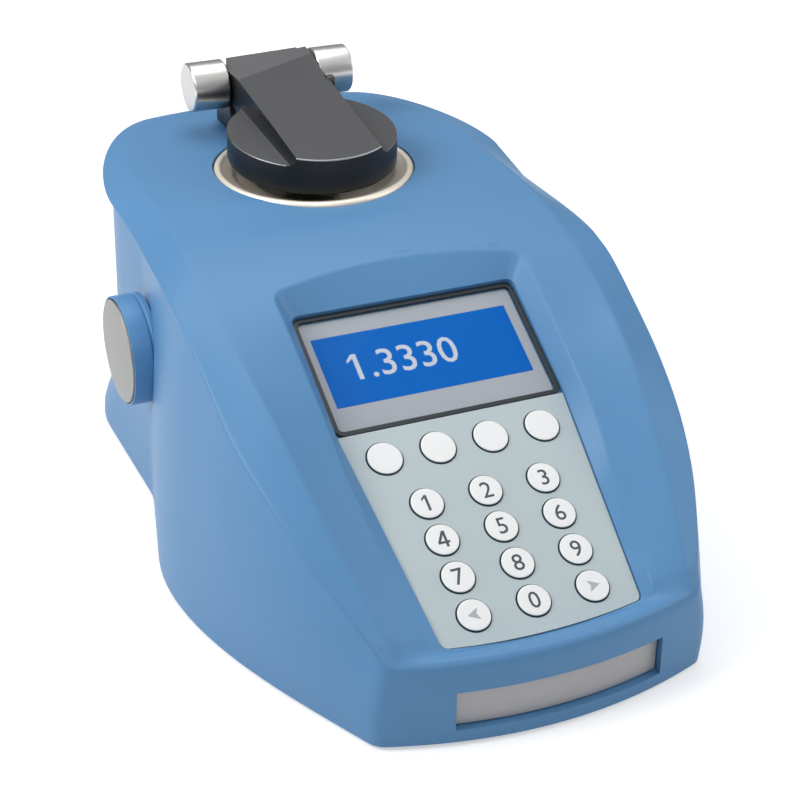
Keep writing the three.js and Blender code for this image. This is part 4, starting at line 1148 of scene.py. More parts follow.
def rounded(profile, radius, steps=4):
    """Rounds the inner corners of an open profile."""
    line = [profile[0]]
    for before, corner, after in zip(profile, profile[1:], profile[2:]):
        here = Vector(corner)
        back = Vector(before) - here
        ahead = Vector(after) - here
        start = here + back.normalized() * min(radius, back.length * 0.45)
        end = here + ahead.normalized() * min(radius, ahead.length * 0.45)
        for k in range(steps + 1):
            t = k / steps
            point = start * (1 - t) ** 2 + here * 2 * t * (1 - t) + end * t**2
            line.append((max(point.x, 0), point.y))
    line.append(profile[-1])
    return line


# White ABS, moulded, satin: clean and bright with small soft highlights.
white_abs = grained_finish(
    "moulded satin white ABS", ("#eeeff0", "#f4f5f6"), roughness=(0.36, 0.42),
    grain=0.5, relief=0.004, drift=6, ior=1.53,
)
# Pad-printed ink on the caps: matt slate for digits, pale grey for arrows.
digit_print = grained_finish(
    "pad-printed slate ink", ("#3c474b", "#444f53"), roughness=(0.5, 0.6),
    grain=0.3, relief=0.002, drift=3, ior=1.5,
)
arrow_print = grained_finish(
    "pad-printed pale grey ink", ("#a9adae", "#b2b6b7"), roughness=(0.5, 0.6),
    grain=0.3, relief=0.002, drift=3, ior=1.5,
)
# The flange under each cap is coloured dark slate teal as painted shade, so that a dark
# ring shows round the cap where the gap lies in shade.
flange_painted_shade = grained_finish(
    "key flange with painted shade", ("#35565b", "#3f6066"), roughness=(0.5, 0.6),
    grain=0.3, relief=0.002, drift=3, ior=1.5,
)


def arrow_mark(name, x, y, side):
    """A plain arrowhead that points to one side."""
    outline = [(-1.5, -1.9), (2.1, 0), (-1.5, 1.9), (-0.7, 0)]
    turned_line = [(x + side * a, y + b) for a, b in outline]
    if side < 0:
        turned_line.reverse()
    return slab(name, turned_line, ink_foot, ink_foot + ink_depth)


def four_mark(name, x, y):
    """A plain 4 of three strokes, so that its middle stays open."""
    upright = [(0.45, -2.65), (1.25, -2.65), (1.25, 2.65), (0.45, 2.65)]
    cross = [(-1.75, -1.45), (1.9, -1.45), (1.9, -0.7), (-1.75, -0.7)]
    slope = [(-1.75, -0.8), (-0.85, -0.8), (1.2, 2.65), (0.35, 2.65)]
    strokes = []
    for line in (upright, cross, slope):
        outline = [(x + a, y + b) for a, b in line]
        strokes.append(slab(name, outline, ink_foot, ink_foot + ink_depth))
    combine(strokes[0], strokes[1], "UNION")
    return combine(strokes[0], strokes[2], "UNION")


for name, x, y, radius in key_places:
    flange = radius + key_ring + 0.6
    profile = [(0, -2.3), (flange, -2.3), (flange, -1.3), (radius, -1.3)]
    profile += [(radius, key_rise - 0.05), (radius - 0.5, key_rise), (0, key_rise)]
    cap = turned(f"key_{name}_cap", rounded(profile, 0.25), (x, y), sides=48)
    cap.data.materials.append(white_abs)
    cap.data.materials.append(flange_painted_shade)
    # The flange at the cap's foot takes the painted shade.
    for polygon in cap.data.polygons:
        out = math.hypot(polygon.center.x / MM - x, polygon.center.y / MM - y)
        low = polygon.center.z < 0.15 * MM
        polygon.material_index = 1 if low and out > radius - 0.2 else 0
    place(cap, lift_face)
    fit_out(cap, f"key_{name}", None, [f"key_{name}"])
    if name in ("left", "right"):
        mark = arrow_mark(f"key_{name}_mark", x, y, 1 if name == "right" else -1)
        ink = arrow_print
    elif name == "4":
        mark = four_mark("key_4_mark", x, y)
        ink = digit_print
    elif name.isdigit():
        mark = lettering(
            f"key_{name}_mark", name, digit_height, x, y, ink_foot, ink_depth, weight=0.003
        )
        ink = digit_print
    else:
        continue
    place(mark, lift_face)
    fit_out(mark, f"key_{name}", ink, degrees=20)


# Sample dish
# A ring turned from stainless steel, its lip rolled over the housing's collar and its
# bowl falling to the prism's window.
lip = dish_lip + foot_lift
# From the foot of the rim over the lip, down the bowl to the prism, and back under it.
dish_profile = [
    (34, 98.7),
    (34, 100.3),
    (33.6, 101.2),
    (32.7, lip),
    (31.7, lip - 0.1),
    (30.9, lip - 0.8),
    (29.2, lip - 1.7),
    (27.6, lip - 2.3),
    (26.3, lip - 3.4),
    (20, lip - 4.9),
    (10.1, 95.7),
    (7.2, 95.7),
    (7.2, 93.7),
    (28.2, 93.7),
    (28.2, 98.7),
    (34, 98.7),
]
painted_light_radius = 20.5
dish = turned("dish_ring_turned", rounded(dish_profile, 0.5)[:-1], dish_middle, sides=128)


def turned_steel(name, metallic, colours, roughness):
    """Steel with the fine rings that a turning tool leaves round the dish's axis."""
    made, tree, shader = new_finish(name, metallic=metallic)
    spot = add_node(tree, "ShaderNodeTexCoord")
    centred = add_node(
        tree,
        "ShaderNodeMapping",
        {"Vector": spot.outputs["Object"], "Location": (0, -dish_y * MM, 0)},
    )
    parts = add_node(tree, "ShaderNodeSeparateXYZ", {"Vector": centred.outputs[0]})
    flat = add_node(
        tree, "ShaderNodeCombineXYZ", {"X": parts.outputs["X"], "Y": parts.outputs["Y"]}
    )
    radial = add_node(
        tree, "ShaderNodeVectorMath", {0: flat.outputs[0]}, operation="LENGTH"
    )
    rings = add_node(
        tree,
        "ShaderNodeTexNoise",
        {"W": radial.outputs["Value"], "Scale": 1 / (0.4 * MM), "Detail": 2},
        noise_dimensions="1D",
    )
    bump = add_node(
        tree,
        "ShaderNodeBump",
        {"Height": rings.outputs[0], "Strength": 1, "Distance": 0.006 * MM},
    )
    tree.links.new(bump.outputs[0], shader.inputs["Normal"])
    vary(tree, shader, centred, 12, colours, roughness)
    return made


# Stainless steel, turned, its lip lightly blasted: pale warm grey and soft. Its pale, half
# metallic colour is partly painted light: it runs down the bowl's slope under the lid,
# where the lid's shade and dark reflection fall, and keeps that slope bright.
pale_steel_painted_light = turned_steel(
    "pale stainless steel with painted light", 0.6, ("#eee5d4", "#f5eee0"), (0.4, 0.48)
)
# The bowl is left as turned: brighter in reflections, with faint rings.
bowl_steel = turned_steel(
    "turned stainless steel", 1.0, ("#c4beb4", "#cfc9bf"), (0.26, 0.32)
)
dish.data.materials.append(pale_steel_painted_light)
dish.data.materials.append(bowl_steel)
# Outside this radius the slope takes the pale steel, painted light over the lid's shade.
for polygon in dish.data.polygons:
    away = math.hypot(polygon.center.x / MM, polygon.center.y / MM - dish_y)
    polygon.material_index = 0 if away > painted_light_radius else 1
fit_out(dish, "instrument", None, ["dish_ring"])


# Hinge barrels, pin and bracket
# Two polished steel barrels on the ends of the pin, outside the ears of a black coated
# bracket that is screwed to the top.
hinge_y = 103.8
hinge_z = 118
barrel_radius = 8.55
barrel_inner = 16.6
barrel_outer = 29.5
end_bevel = 0.5
hinge_middle = (hinge_y, hinge_z)

# Stainless steel, turned and polished: mirror-like streaks along the bar, with faint
# turning marks round it.
barrel_steel = grained_finish(
    "polished stainless bar", ("#cbcac9", "#d5d4d3"), roughness=(0.26, 0.3),
    grain=0.6, relief=0.0015, stretch=(1, 0.05, 0.05), drift=4, metallic=1.0,
)
# The same steel, faced off and blasted: pale and even.
barrel_face = grained_finish(
    "faced satin stainless end", ("#c9cacb", "#d2d3d4"), roughness=(0.42, 0.5),
    grain=0.5, relief=0.01, drift=3, metallic=1.0,
)
for side, word in ((-1, "left"), (1, "right")):
    outside = [(8.2, barrel_inner), (barrel_radius, barrel_inner + 0.35)]
    outside.append((barrel_radius, barrel_outer - end_bevel))
    outside += [(barrel_radius - end_bevel, barrel_outer), (0, barrel_outer)]
    line = [(4.3, barrel_inner), *rounded(outside, 0.2), (0, 27.3), (4.3, 27.3)]
    bar_profile = [(radius, side * along) for radius, along in line]
    barrel = turned(f"hinge_barrel_{word}_bar", bar_profile, hinge_middle, "X", sides=96)
    barrel.data.materials.append(barrel_steel)
    barrel.data.materials.append(barrel_face)
    for polygon in barrel.data.polygons:
        at_end = abs(polygon.center.x) > (barrel_outer - end_bevel) * MM
        flat_end = abs(polygon.normal.x) > 0.9 and at_end
        polygon.material_index = 1 if flat_end else 0
    fit_out(barrel, "instrument", None, [f"hinge_barrel_{word}"])

pin = turned(
    "hinge_pin_bar",
    [(0, -27), (3.7, -27), (4, -26.7), (4, 26.7), (3.7, 27), (0, 27)],
    hinge_middle,
    "X",
)
fit_out(pin, "instrument", barrel_steel, ["hinge_pin"])


def side_slab(name, outline, half, shift=0):
    """A flat outline of y and z, drawn across X."""
    made = slab(name, outline, -half, half)
    turn_up = Matrix(((0, 0, 1, shift), (1, 0, 0, 0), (0, 1, 0, 0), (0, 0, 0, 1)))
    return place(made, turn_up)


bracket_foot = 101.8
bracket_top = bracket_foot + 3
bracket_front = hinge_y - 9
bracket_rear = hinge_y + 9
ear_foot = bracket_foot + 7
ear_radius = 5.6
ear_half = 1.4
ear_place = 14.9
bracket_half = 16.3
pin_bore = 4.3
screw_place = 7
ear_outline = [(bracket_front, bracket_foot), (bracket_rear, bracket_foot)]
ear_outline += [(bracket_rear, bracket_top), (hinge_y + ear_radius, ear_foot)]
ear_outline += arc(hinge_middle, ear_radius, 0, math.pi, 24)
ear_outline += [(hinge_y - ear_radius, ear_foot), (bracket_front, bracket_top)]
bracket_plan = box_outline(-bracket_half, bracket_half, bracket_front, bracket_rear)
bracket = slab("bracket_casting", bracket_plan, bracket_foot, bracket_top)
for side in (-1, 1):
    combine(bracket, side_slab("ear", ear_outline, ear_half, side * ear_place), "UNION")
combine(bracket, bar("pin_bore", pin_bore, -20, 20, hinge_middle, "X", sides=48))
for side in (-1, 1):
    hole_middle = (side * screw_place, hinge_y)
    combine(bracket, bar("screw_hole", 2.5, 100, 108, hole_middle, sides=32))
bevelled(bracket, 0.4, 3)
# Cast aluminium with a baked black coating: deep black, a soft sheen on its edges.
black_coat = grained_finish(
    "baked black coating on cast aluminium", ("#131416", "#191a1d"), roughness=(0.38, 0.46),
    grain=0.5, relief=0.01, drift=15, ior=1.6,
)
fit_out(bracket, "instrument", black_coat, ["hinge_bracket"])


# Lid
# One aluminium casting, anodised black: a round cover over the dish, and an arm raised
# along its middle, with a hollow fillet down each side and a facet over the hinge. It
# turns on the hinge's pin and rests a little nose down on its pad.
lid_y = 60.9
lid_radius = 28.7
lid_foot = 103.7
crescent = 113.4
lid_tilt = 0.08
arm_front = 113.7
arm_slope = 0.16
arm_half = 15
arm_waist_half = 15.4
arm_rear_half = 16.5
hub_half = 13.2
cove = 2.7
lid_front = lid_y - lid_radius
neck = lid_y + lid_radius
waist = hinge_y - 12
lid_middle = (0, lid_y)


def arm_top(y):
    """The height of the arm's top."""
    return arm_front + (y - lid_front) * arm_slope


def tilted(piece):
    """Leans a piece of the lid by its tilt."""
    lean = Matrix.Identity(4)
    lean[2][1] = lid_tilt
    lean.translation = (0, 0, -lid_tilt * lid_y)
    return place(piece, lean)


# The round cover, then the arm from its outline seen from the side and from above.
lid_profile = [(0, lid_foot), (lid_radius - 0.7, lid_foot)]
lid_profile += [(lid_radius, lid_foot + 0.7), (lid_radius, crescent), (0, crescent)]
lid = tilted(turned("lid_casting", rounded(lid_profile, 0.36), lid_middle, sides=160))
side_line = [(lid_front, lid_foot), (neck - 1.2, lid_foot + 3.4)]
side_line.append((hinge_y - 9.2, hinge_z - 6.4))
side_line += arc(hinge_middle, 8, 1.2 * math.pi, 1.5 * math.pi, 12)
side_line += [(hinge_y + 5, hinge_z - 8), (hinge_y + 6.2, hinge_z - 6.8)]
side_line += [(hinge_y + 6.2, arm_top(hinge_y + 6.2)), (lid_front, arm_front)]
arm = side_slab("arm", side_line, lid_radius)
plan_line = [(arm_half, lid_y), (arm_waist_half, waist), (arm_rear_half, hinge_y - 2)]
plan_line.append((arm_rear_half, hinge_y + 10))
plan_line += [(-x, y) for x, y in reversed(plan_line)]
swing = math.acos(arm_half / lid_radius)
plan_line += arc(lid_middle, lid_radius, math.pi + swing, 2 * math.pi - swing, 48)
combine(arm, slab("arm_plan", plan_line, 95, 135), "INTERSECT")
# The ears of the bracket swing through the space under the arm's rear corners, which is
# cut away for the lid's whole travel. Its sloping side leans as the open lid does.
swept = math.radians(105)
gap = ear_radius + 0.25
sweep_line = [(-gap, 0), (-gap, -25), (25, -25), (25, 9.5)]
sweep_line.append((20 - gap * math.sin(swept - math.pi / 2), 20 * 0.268 + gap * 0.966))
sweep_line += arc((0, 0), gap, swept, math.pi, 12)[:-1]
sweep_line = [(hinge_y + y, hinge_z + z) for y, z in sweep_line]
for side in (-1, 1):
    combine(arm, side_slab("ear_sweep", sweep_line, 3, side * (hub_half + 3)))
combine(lid, arm, "UNION")
cover = tilted(bar("cover", lid_radius, 95, 130, lid_middle, sides=160))
# The section of the hollow fillet between the arm's side and the cover's top.
hollow = arc((cove, cove), cove, 1.5 * math.pi, math.pi, 8)
section = [(-0.8, -0.8), (cove, -0.8), *hollow, (-0.8, cove)]
count = len(section)
for side in (-1, 1):
    points = []
    for y in (lid_front - 2, neck):
        half = np.interp(y, [lid_y, waist], [arm_half, arm_waist_half])
        points += [(side * (half + a), y, crescent + b) for a, b in section]
    faces = [tuple(range(count)), tuple(range(2 * count - 1, count - 1, -1))]
    for k in range(count):
        j = (k + 1) % count
        faces.append((k, count + k, count + j, j))
    if side < 0:
        faces = [face[::-1] for face in faces]
    fillet = tilted(new_piece("fillet", points, faces))
    combine(fillet, put_in("cover_copy", cover.data.copy()), "INTERSECT")
    combine(lid, fillet, "UNION")
bpy.data.objects.remove(cover)
combine(lid, bar("pin_bore", pin_bore, -20, 20, hinge_middle, "X", sides=48))
combine(lid, bar("pad_seat", 14.3, 95, 103.5, lid_middle, sides=96))
# The facet lies askew over the hinge: its two front corners, and one at the rear.
facet_left = Vector((-15.4, 91.2, arm_top(91.2)))
facet_right = Vector((16.6, 103.2, arm_top(103.2)))
facet_rear = Vector((-16, 110, arm_top(110) - 1.4))
edge_way = (facet_right - facet_left).normalized()
fall_way = (facet_rear - facet_left).normalized()
facet_up = edge_way.cross(fall_way).normalized()
fall_way = facet_up.cross(edge_way)
turn_facet = Matrix((edge_way, fall_way, facet_up)).transposed().to_4x4()
turn_facet.translation = facet_left
facet = slab("facet", box_outline(-30, 60, 0, 40), 0, 20)
combine(lid, place(facet, turn_facet))
# Aluminium, bead blasted on top before it was anodised black: the rough top scatters light.
# Its dark grey, paler than the walls, is painted light for the light that falls on the top.
lid_top_painted_light = grained_finish(
    "black anodised aluminium top with painted light", ("#3e3f41", "#444547"), roughness=(0.5, 0.56),
    grain=0.45, relief=0.01, drift=25, ior=1.5,
)
# The same metal left turned and milled on its walls: smooth, and coloured nearly black as
# painted shade.
lid_wall_painted_shade = grained_finish(
    "black anodised aluminium walls with painted shade", ("#0f1216", "#14181c"), roughness=(0.34, 0.4),
    grain=0.45, relief=0.003, drift=25, ior=1.5, specular_ior_level=0.3,
)
# Along its front edges a pale, near metallic grey is a painted highlight, so that they
# catch the light.
lid_edge_painted_highlight = grained_finish(
    "lid front edge with painted highlight", ("#84888c", "#9ca0a4"), roughness=(0.3, 0.36),
    grain=0.45, relief=0.003, drift=12, metallic=0.9,
)
# The facet over the hinge is a little smoother than the top, and coloured a little paler as
# painted light, for the light that its tilt catches.
lid_facet_painted_light = grained_finish(
    "black anodised aluminium facet with painted light", ("#56575a", "#5e5f62"), roughness=(0.42, 0.48),
    grain=0.45, relief=0.004, drift=25, ior=1.5,
)
lid.data.materials.clear()
for made in (lid_wall_painted_shade, lid_top_painted_light, lid_edge_painted_highlight, lid_facet_painted_light):
    lid.data.materials.append(made)
on_wall_painted_shade, on_top_painted_light, on_painted_highlight, on_facet_painted_light = range(4)
# The front of the rim is rounded off by hand, from one groove to the next, and the rounding
# carries the painted highlight.
build = bmesh.new()
build.from_mesh(lid.data)
bmesh.ops.remove_doubles(build, verts=build.verts, dist=0.01 * MM)
build.normal_update()
rounding = build.edges.layers.float.new("bevel_weight_edge")
edge_width = 0.36
shortest = 0.45
for edge in build.edges:
    normals = sorted((face.normal for face in edge.link_faces), key=lambda n: n.z)
    near = [other for corner in edge.verts for other in corner.link_edges]
    if len(normals) == 2 and normals[1].z > 0.93 and abs(normals[0].z) < 0.3:
        space = min(other.calc_length() for other in near)
        if normals[0].y < -0.2 and space > shortest * MM:
            edge[rounding] = 1
build.to_mesh(lid.data)
build.free()
shade_soft(lid, 28)
modifier = lid.modifiers.new("edges", "BEVEL")
modifier.width = edge_width * MM
modifier.segments = 3
modifier.limit_method = "WEIGHT"
modifier.harden_normals = True
modifier.material = on_painted_highlight
modifier.use_clamp_overlap = False
settle(lid)
# Faces that look up take the top's painted light and the rest take the walls' painted
# shade. The front rounding takes the painted highlight, and the facet its paler painted
# light.
for polygon in lid.data.polygons:
    up = polygon.normal.z
    x, y, _ = polygon.center / MM
    bevel = polygon.material_index == on_painted_highlight
    rim = math.hypot(x, y - lid_y) > lid_radius - 0.4 and y < lid_y
    if (bevel or rim) and 0.15 < up < 0.97:
        polygon.material_index = on_painted_highlight
    elif polygon.normal.dot(facet_up) > 0.9995 and y > facet_left.y:
        polygon.material_index = on_facet_painted_light
    else:
        polygon.material_index = on_top_painted_light if up > 0.93 else on_wall_painted_shade
fit_out(lid, "lid", None, ["lid"])

nub = turned(
    "lid_side_screw_head",
    rounded([(0, 14.6), (2.3, 14.6), (2.3, 17.2), (1.2, 18), (0, 18)], 0.3),
    (hinge_y - 18.6, hinge_z + 2.6),
    "X",
    sides=32,
)
fit_out(nub, "lid", black_coat, ["lid_side_screw"])

presser_profile = [(0, 97.9), (8.6, 97.9), (9, 98.3), (9, 101.6)]
presser_profile += [(14, 101.6), (14, 103.2), (0, 103.2)]
presser = turned("presser_moulding", rounded(presser_profile, 0.3), lid_middle)
# Nitrile rubber, compression moulded: matt black with a powdery bloom.
nitrile = grained_finish(
    "moulded nitrile rubber", ("#161617", "#202021"), roughness=(0.7, 0.85),
    grain=0.6, relief=0.02, drift=10, ior=1.52,
)
fit_out(presser, "lid", nitrile, ["presser_pad"])


# Side cap and desiccant canister
# A blue moulded plug low on the left side, with a steel disc let into its face. The
# ribbed canister behind it holds the drying agent and pulls out with it.
cap_middle = (cap_bore[0], cap_bore[1] + foot_lift)
cap_profile = [(0, -70.9), (cap_radius, -70.9), (cap_radius, -72.6), (17.5, -72.8)]
cap_profile += [(17.5, -73.4), (cap_radius, -73.6), (cap_radius, -80), (17.1, -80)]
cap_profile += [(17.1, -79.2), (0, -79.2)]
cap = turned("side_cap_moulding", rounded(cap_profile, 0.25), cap_middle, "X", sides=128)
fit_out(cap, "side_cap", blue_abs, ["side_cap"])
disc_profile = [(0, -79.5), (16.8, -79.5), (16.8, -80.5), (0, -80.5)]
disc = turned("side_cap_plate", rounded(disc_profile, 0.25), cap_middle, "X", sides=128)
# Stainless sheet, blanked and fine brushed: pale grey, nearly even.
sheet_steel = grained_finish(
    "brushed stainless sheet", ("#929291", "#9c9c9b"), roughness=(0.4, 0.48),
    grain=0.4, relief=0.004, stretch=(1, 0.06, 1), drift=8, metallic=0.9,
)
fit_out(disc, "side_cap", sheet_steel, ["side_cap_disc"])

can_profile = [(0, -70.6), (canister_radius, -70.6), (canister_radius, -66), (11.6, -65.6)]
can_profile += [(11.6, -40.4), (canister_radius, -40), (canister_radius, -39.6), (0, -39.6)]
canister = turned("canister_shell", rounded(can_profile, 0.25), cap_middle, "X", sides=64)
# White polypropylene, moulded: slightly waxy.
polypropylene = grained_finish(
    "moulded white polypropylene", ("#e2e2dd", "#e8e8e4"), roughness=(0.35, 0.45),
    grain=0.6, relief=0.006, drift=10, ior=1.49,
)
fit_out(canister, "side_cap", polypropylene, ["desiccant_canister"])


def set_out_tree():
    """A node tree that sets one shape on each point of a mesh."""
    tree = bpy.data.node_groups.new("set out", "GeometryNodeTree")
    inputs = [("Points", "Geometry"), ("Shape", "Object"), ("Turn", "Vector")]
    inputs += [("Step", "Vector"), ("Finish", "Material")]
    for name, kind in inputs:
        tree.interface.new_socket(name, in_out="INPUT", socket_type=f"NodeSocket{kind}")
    tree.interface.new_socket(
        "Geometry", in_out="OUTPUT", socket_type="NodeSocketGeometry"
    )
    given = add_node(tree, "NodeGroupInput")
    shape = add_node(tree, "GeometryNodeObjectInfo", {"Object": given.outputs["Shape"]})
    index = add_node(tree, "GeometryNodeInputIndex")
    step = add_node(
        tree,
        "ShaderNodeVectorMath",
        {0: given.outputs["Step"], "Scale": index.outputs[0]},
        operation="SCALE",
    )
    angle = add_node(
        tree,
        "ShaderNodeVectorMath",
        {0: given.outputs["Turn"], 1: step.outputs[0]},
        operation="ADD",
    )
    copies = add_node(
        tree,
        "GeometryNodeInstanceOnPoints",
        {
            "Points": given.outputs["Points"],
            "Instance": shape.outputs["Geometry"],
            "Rotation": angle.outputs[0],
        },
    )
    real = add_node(tree, "GeometryNodeRealizeInstances", {"Geometry": copies.outputs[0]})
    dressed = add_node(
        tree,
        "GeometryNodeSetMaterial",
        {"Geometry": real.outputs[0], "Material": given.outputs["Finish"]},
    )
    add_node(tree, "NodeGroupOutput", {"Geometry": dressed.outputs[0]})
    return tree


set_out = set_out_tree()


def set_out_copies(name, shape, places, finish, turn_by=(0, 0, 0), step_by=(0, 0, 0)):
    """One mesh of a shape repeated at the places, each turned a step further."""
    made = new_piece(name, places, [])
    modifier = made.modifiers.new("set out", "NODES")
    modifier.node_group = set_out
    values = {"Shape": shape, "Turn": turn_by, "Step": step_by, "Finish": finish}
    for item in set_out.interface.items_tree:
        if item.in_out == "INPUT" and item.name in values:
            modifier[item.identifier] = values[item.name]
    settle(made)
    bpy.data.objects.remove(shape)
    return made


rib_count = 24
rib = slab("rib", box_outline(-0.5, 0.5, 11.4, 12.4, 0.3, 3), 0, 24)
place(rib, Matrix.Translation((0, 0, -12)))
place(rib, Matrix.Rotation(math.pi / 2, 4, "Y"))
ribs = set_out_copies(
    "canister_ribs",
    rib,
    [(-53, *cap_middle)] * rib_count,
    polypropylene,
    step_by=(2 * math.pi / rib_count, 0, 0),
)
fit_out(ribs, "side_cap", None)


# Base plate, feet and screws
# A black moulded tray closes the housing from below, held by four countersunk screws.
# Four nitrile feet are pressed into it.
tray_inset = 4.2
tray_under = 1.9
tray_top = 4.3
tray_loop = mirrored(inward(half_loop(base_loop, fine_steps), tray_inset))
tray = slab("base_tray", [(x, y) for x, y, _ in tray_loop], tray_under, tray_top)
for side in (-1, 1):
    for y in (-72.4, 45.6):
        combine(tray, bar("standoff", 3, 4, 10.3, (side * 39, y), sides=32), "UNION")
    for x, y in boss_places:
        combine(tray, bar("screw_hole", screw_bore, 0, 6, (side * x, y), sides=32))
        combine(tray, bar("head_hole", 3.75, 0, 3.5, (side * x, y), sides=32))
bevelled(tray, 0.3, 2)
# Black ABS, moulded with a coarse spark texture: dark and matt.
black_abs = grained_finish(
    "moulded black ABS", ("#222426", "#292b2d"), roughness=(0.5, 0.6),
    grain=0.6, relief=0.02, drift=20, ior=1.53,
)
fit_out(tray, "instrument", black_abs, ["base_plate"])

feet_places = [(-36, -106.4, 0), (36, -106.4, 0), (-52, 80.6, 0), (52, 80.6, 0)]
foot_profile = [(0, 0.5), (4.8, 0.5), (5, 0), (6.4, 0), (7, 0.6), (7, 1.8), (0, 1.8)]
foot = turned("foot", rounded(foot_profile, 0.2), sides=48)
feet = set_out_copies("rubber_feet", foot, feet_places, nitrile)
foot_nodes = ["foot_front_left", "foot_front_right", "foot_rear_left"]
foot_nodes.append("foot_rear_right")
fit_out(feet, "instrument", None, foot_nodes)


def screw_shape(name, head, head_height, shank, length):
    """A machine screw, head down, with a cross recess in its head."""
    profile = [(0, 0), (head, 0), (head, head_height), (shank, head_height)]
    profile += [(shank, length), (0, length)]
    made = turned(name, rounded(profile, 0.2), sides=32)
    slot_outline = box_outline(-head * 0.6, head * 0.6, -head * 0.1, head * 0.1)
    for turn_cross in (0, math.pi / 2):
        slot = slab("slot", slot_outline, -1, 0.7)
        combine(made, place(slot, Matrix.Rotation(turn_cross, 4, "Z")))
    return made


# Zinc-plated steel: bright, slightly blue.
zinc = grained_finish(
    "zinc-plated steel", ("#b2b5b8", "#bec1c4"), roughness=(0.25, 0.35),
    grain=0.4, relief=0.004, drift=4, metallic=1.0,
)
base_screws = set_out_copies(
    "base_screws",
    screw_shape("base_screw", 3.4, 1.25, 1.8, 13),
    [(side * x, y, 2.1) for side in (-1, 1) for x, y in boss_places],
    zinc,
)
screw_nodes = [f"base_screw_{k}" for k in (1, 2, 3, 4)]
fit_out(base_screws, "instrument", None, screw_nodes)
bracket_screws = set_out_copies(
    "bracket_screws",
    screw_shape("bracket_screw", 2.2, 2.2, 1, 2.21),
    [(-screw_place, hinge_y, 104), (screw_place, hinge_y, 104)],
    zinc,
    turn_by=(math.pi, 0, 0),
)
screw_nodes = ["bracket_screw_1", "bracket_screw_2"]
fit_out(bracket_screws, "instrument", None, screw_nodes)


# Rear panel and its ports
# A black moulded panel set into a bay of the rear wall. It carries a power inlet, a
# nine-pin serial port in a zinc-plated shell and a rocker switch.
panel_rise = (panel_head - panel_foot) / 2
panel_middle = panel_foot + panel_rise + foot_lift
face_rear = Matrix.Rotation(-math.pi / 2, 4, "X")
upright = Matrix.Translation((0, panel_face, panel_middle)) @ face_rear


def behind(points):
    """Turns an outline of x and height so that it faces the rear when it is placed."""
    return [(x, -z) for x, z in reversed(points)]


panel_outline = box_outline(-panel_half, panel_half, -panel_rise, panel_rise, 1.5)
panel = slab("rear_panel_moulding", panel_outline, -2, 0)
combine(panel, bar("inlet_hole", 5.9, -4, 2, (-24, 0), sides=48))
combine(panel, slab("port_hole", box_outline(-6.9, 10.9, -4.5, 4.5), -4, 2))
combine(panel, slab("switch_hole", box_outline(20.2, 33.8, -9.8, 9.8), -4, 2))
place(bevelled(panel, 0.3, 2), upright)
fit_out(panel, "instrument", black_abs, ["rear_panel"])

inlet_profile = [(0, -12), (5.6, -12), (5.6, 0.3), (7.2, 0.3), (7.2, 1.4), (3.1, 1.4)]
inlet_profile += [(3.1, -6.6), (1, -6.6), (1, 0), (0, 0)]
inlet = turned("power_inlet_moulding", rounded(inlet_profile, 0.25), (-24, 0), sides=64)
place(inlet, upright)
fit_out(inlet, "instrument", black_abs, ["power_inlet"])

port = slab("serial_port_shell", box_outline(-13.4, 17.4, -6.25, 6.25, 1), -5.3, -2.3)
shell_line = behind([(-5.6, -4.2), (9.6, -4.2), (10.6, 4.2), (-6.6, 4.2)])
combine(port, slab("shell", shell_line, -11, 3.2), "UNION")
mouth_line = behind([(-5, -3.6), (9, -3.6), (10, 3.6), (-6, 3.6)])
combine(port, slab("mouth", mouth_line, -2, 5))
place(bevelled(port, 0.3, 2), upright)
fit_out(port, "instrument", zinc, ["serial_port"])
contact_profile = [(0, -2.2), (0.5, -2.2), (0.5, 2.2), (0, 2.6)]
contact = turned("contact", rounded(contact_profile, 0.15), sides=12)
place(contact, face_rear)
contact_pitch = 2.7
contact_places = []
for middle, number, up in ((2, 5, 1.4), (1.5, 4, -1.4)):
    for k in range(number):
        across = 2 + contact_pitch * (k - middle)
        contact_places.append((across, panel_face, panel_middle + up))
# Brass pins with a flash of gold: warm yellow and bright.
gold_flash = grained_finish(
    "gold-flashed brass contacts", ("#c9a35c", "#d4b06a"), roughness=(0.25, 0.35),
    grain=0.3, relief=0.002, drift=2, metallic=1.0,
)
contacts = set_out_copies("serial_port_contacts", contact, contact_places, gold_flash)
fit_out(contacts, "instrument", None)

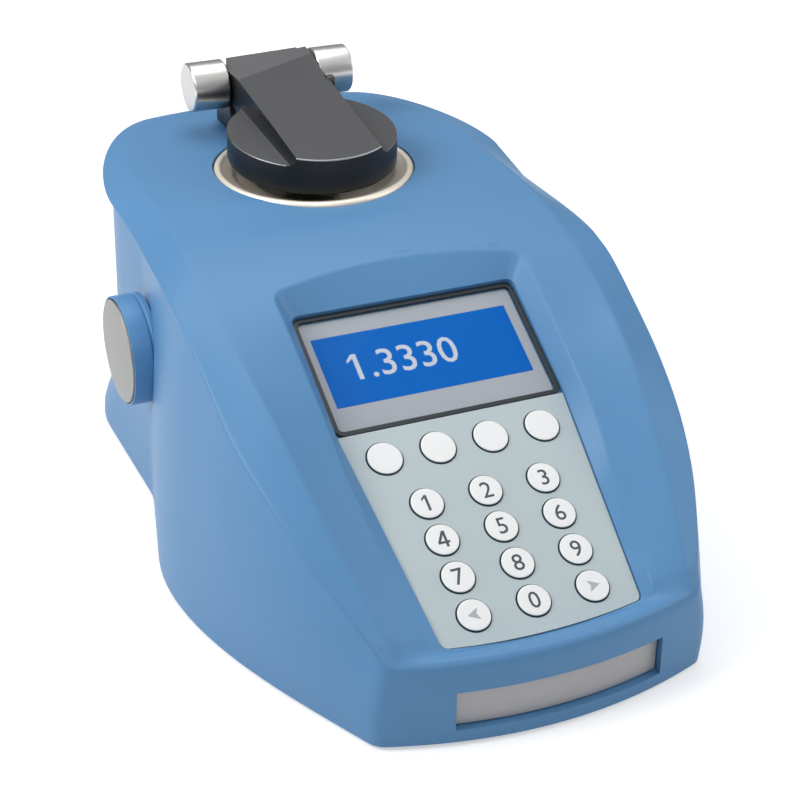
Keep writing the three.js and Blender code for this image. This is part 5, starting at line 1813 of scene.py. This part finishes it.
switch = slab("power_switch_body", box_outline(20.5, 33.5, -9.5, 9.5), -16, 0.4)
bezel_outline = box_outline(19.1, 34.9, -10.9, 10.9, 0.8)
combine(switch, slab("bezel", bezel_outline, 0.3, 1.7), "UNION")
combine(switch, slab("mouth", box_outline(22.3, 31.7, -7.25, 7.25), -4.6, 6))
place(bevelled(switch, 0.3, 2), upright)
fit_out(switch, "instrument", black_abs, ["power_switch"])

# The rocker keeps the CAD model's shape, with its flat faces made whole and its edges
# rounded.
rocker = put_in("power_rocker_moulding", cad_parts["power_rocker"].data.copy())
build = bmesh.new()
build.from_mesh(rocker.data)
bmesh.ops.remove_doubles(build, verts=build.verts, dist=0.001 * MM)
bmesh.ops.dissolve_limit(
    build, angle_limit=math.radians(1), verts=build.verts, edges=build.edges
)
build.to_mesh(rocker.data)
build.free()
bevelled(rocker, 0.25, 2)
fit_out(rocker, "power_rocker", black_abs, ["power_rocker"])


# Works inside the housing
# Boards, optics and the heat sink keep the CAD model's own shapes. They are seen only
# when the dish, the keys or the canister are out of the way.
# Glass-fibre board under solder mask: dark green, with a lacquer's soft shine.
solder_mask = grained_finish(
    "green solder mask on glass-fibre board", ("#27613c", "#327048"), roughness=(0.35, 0.5),
    grain=0.8, relief=0.01, drift=5, ior=1.5,
)
# Aluminium, sawn and milled: bright, with fine tool marks across it.
milled = grained_finish(
    "milled aluminium", ("#adb0b2", "#babdbf"), roughness=(0.35, 0.45),
    grain=0.5, relief=0.006, stretch=(1, 0.1, 1), drift=8, metallic=1.0,
)
# Synthetic sapphire and optical glass, polished: clear, with sharp reflections.
sapphire = grained_finish(
    "polished sapphire", ("#eef4f8", "#f4f8fb"), roughness=(0.02, 0.04),
    grain=20, relief=0.002, drift=20, ior=1.77, transmission_weight=1.0,
)
# Alumina ceramic plates, ground: chalk white and matt.
alumina = grained_finish(
    "ground alumina ceramic", ("#e0e0da", "#e8e8e3"), roughness=(0.5, 0.6),
    grain=0.4, relief=0.01, drift=5, ior=1.7,
)
kept_shapes = {
    "switch_board": solder_mask,
    "light_source": solder_mask,
    "sensor_board": solder_mask,
    "main_board": solder_mask,
    "optics_block": milled,
    "heat_sink": milled,
    "prism": sapphire,
    "lens": sapphire,
    "peltier_module": alumina,
    "dish_seal": nitrile,
}
for name, finish in kept_shapes.items():
    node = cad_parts[name]
    node.data.materials.clear()
    node.data.materials.append(finish)
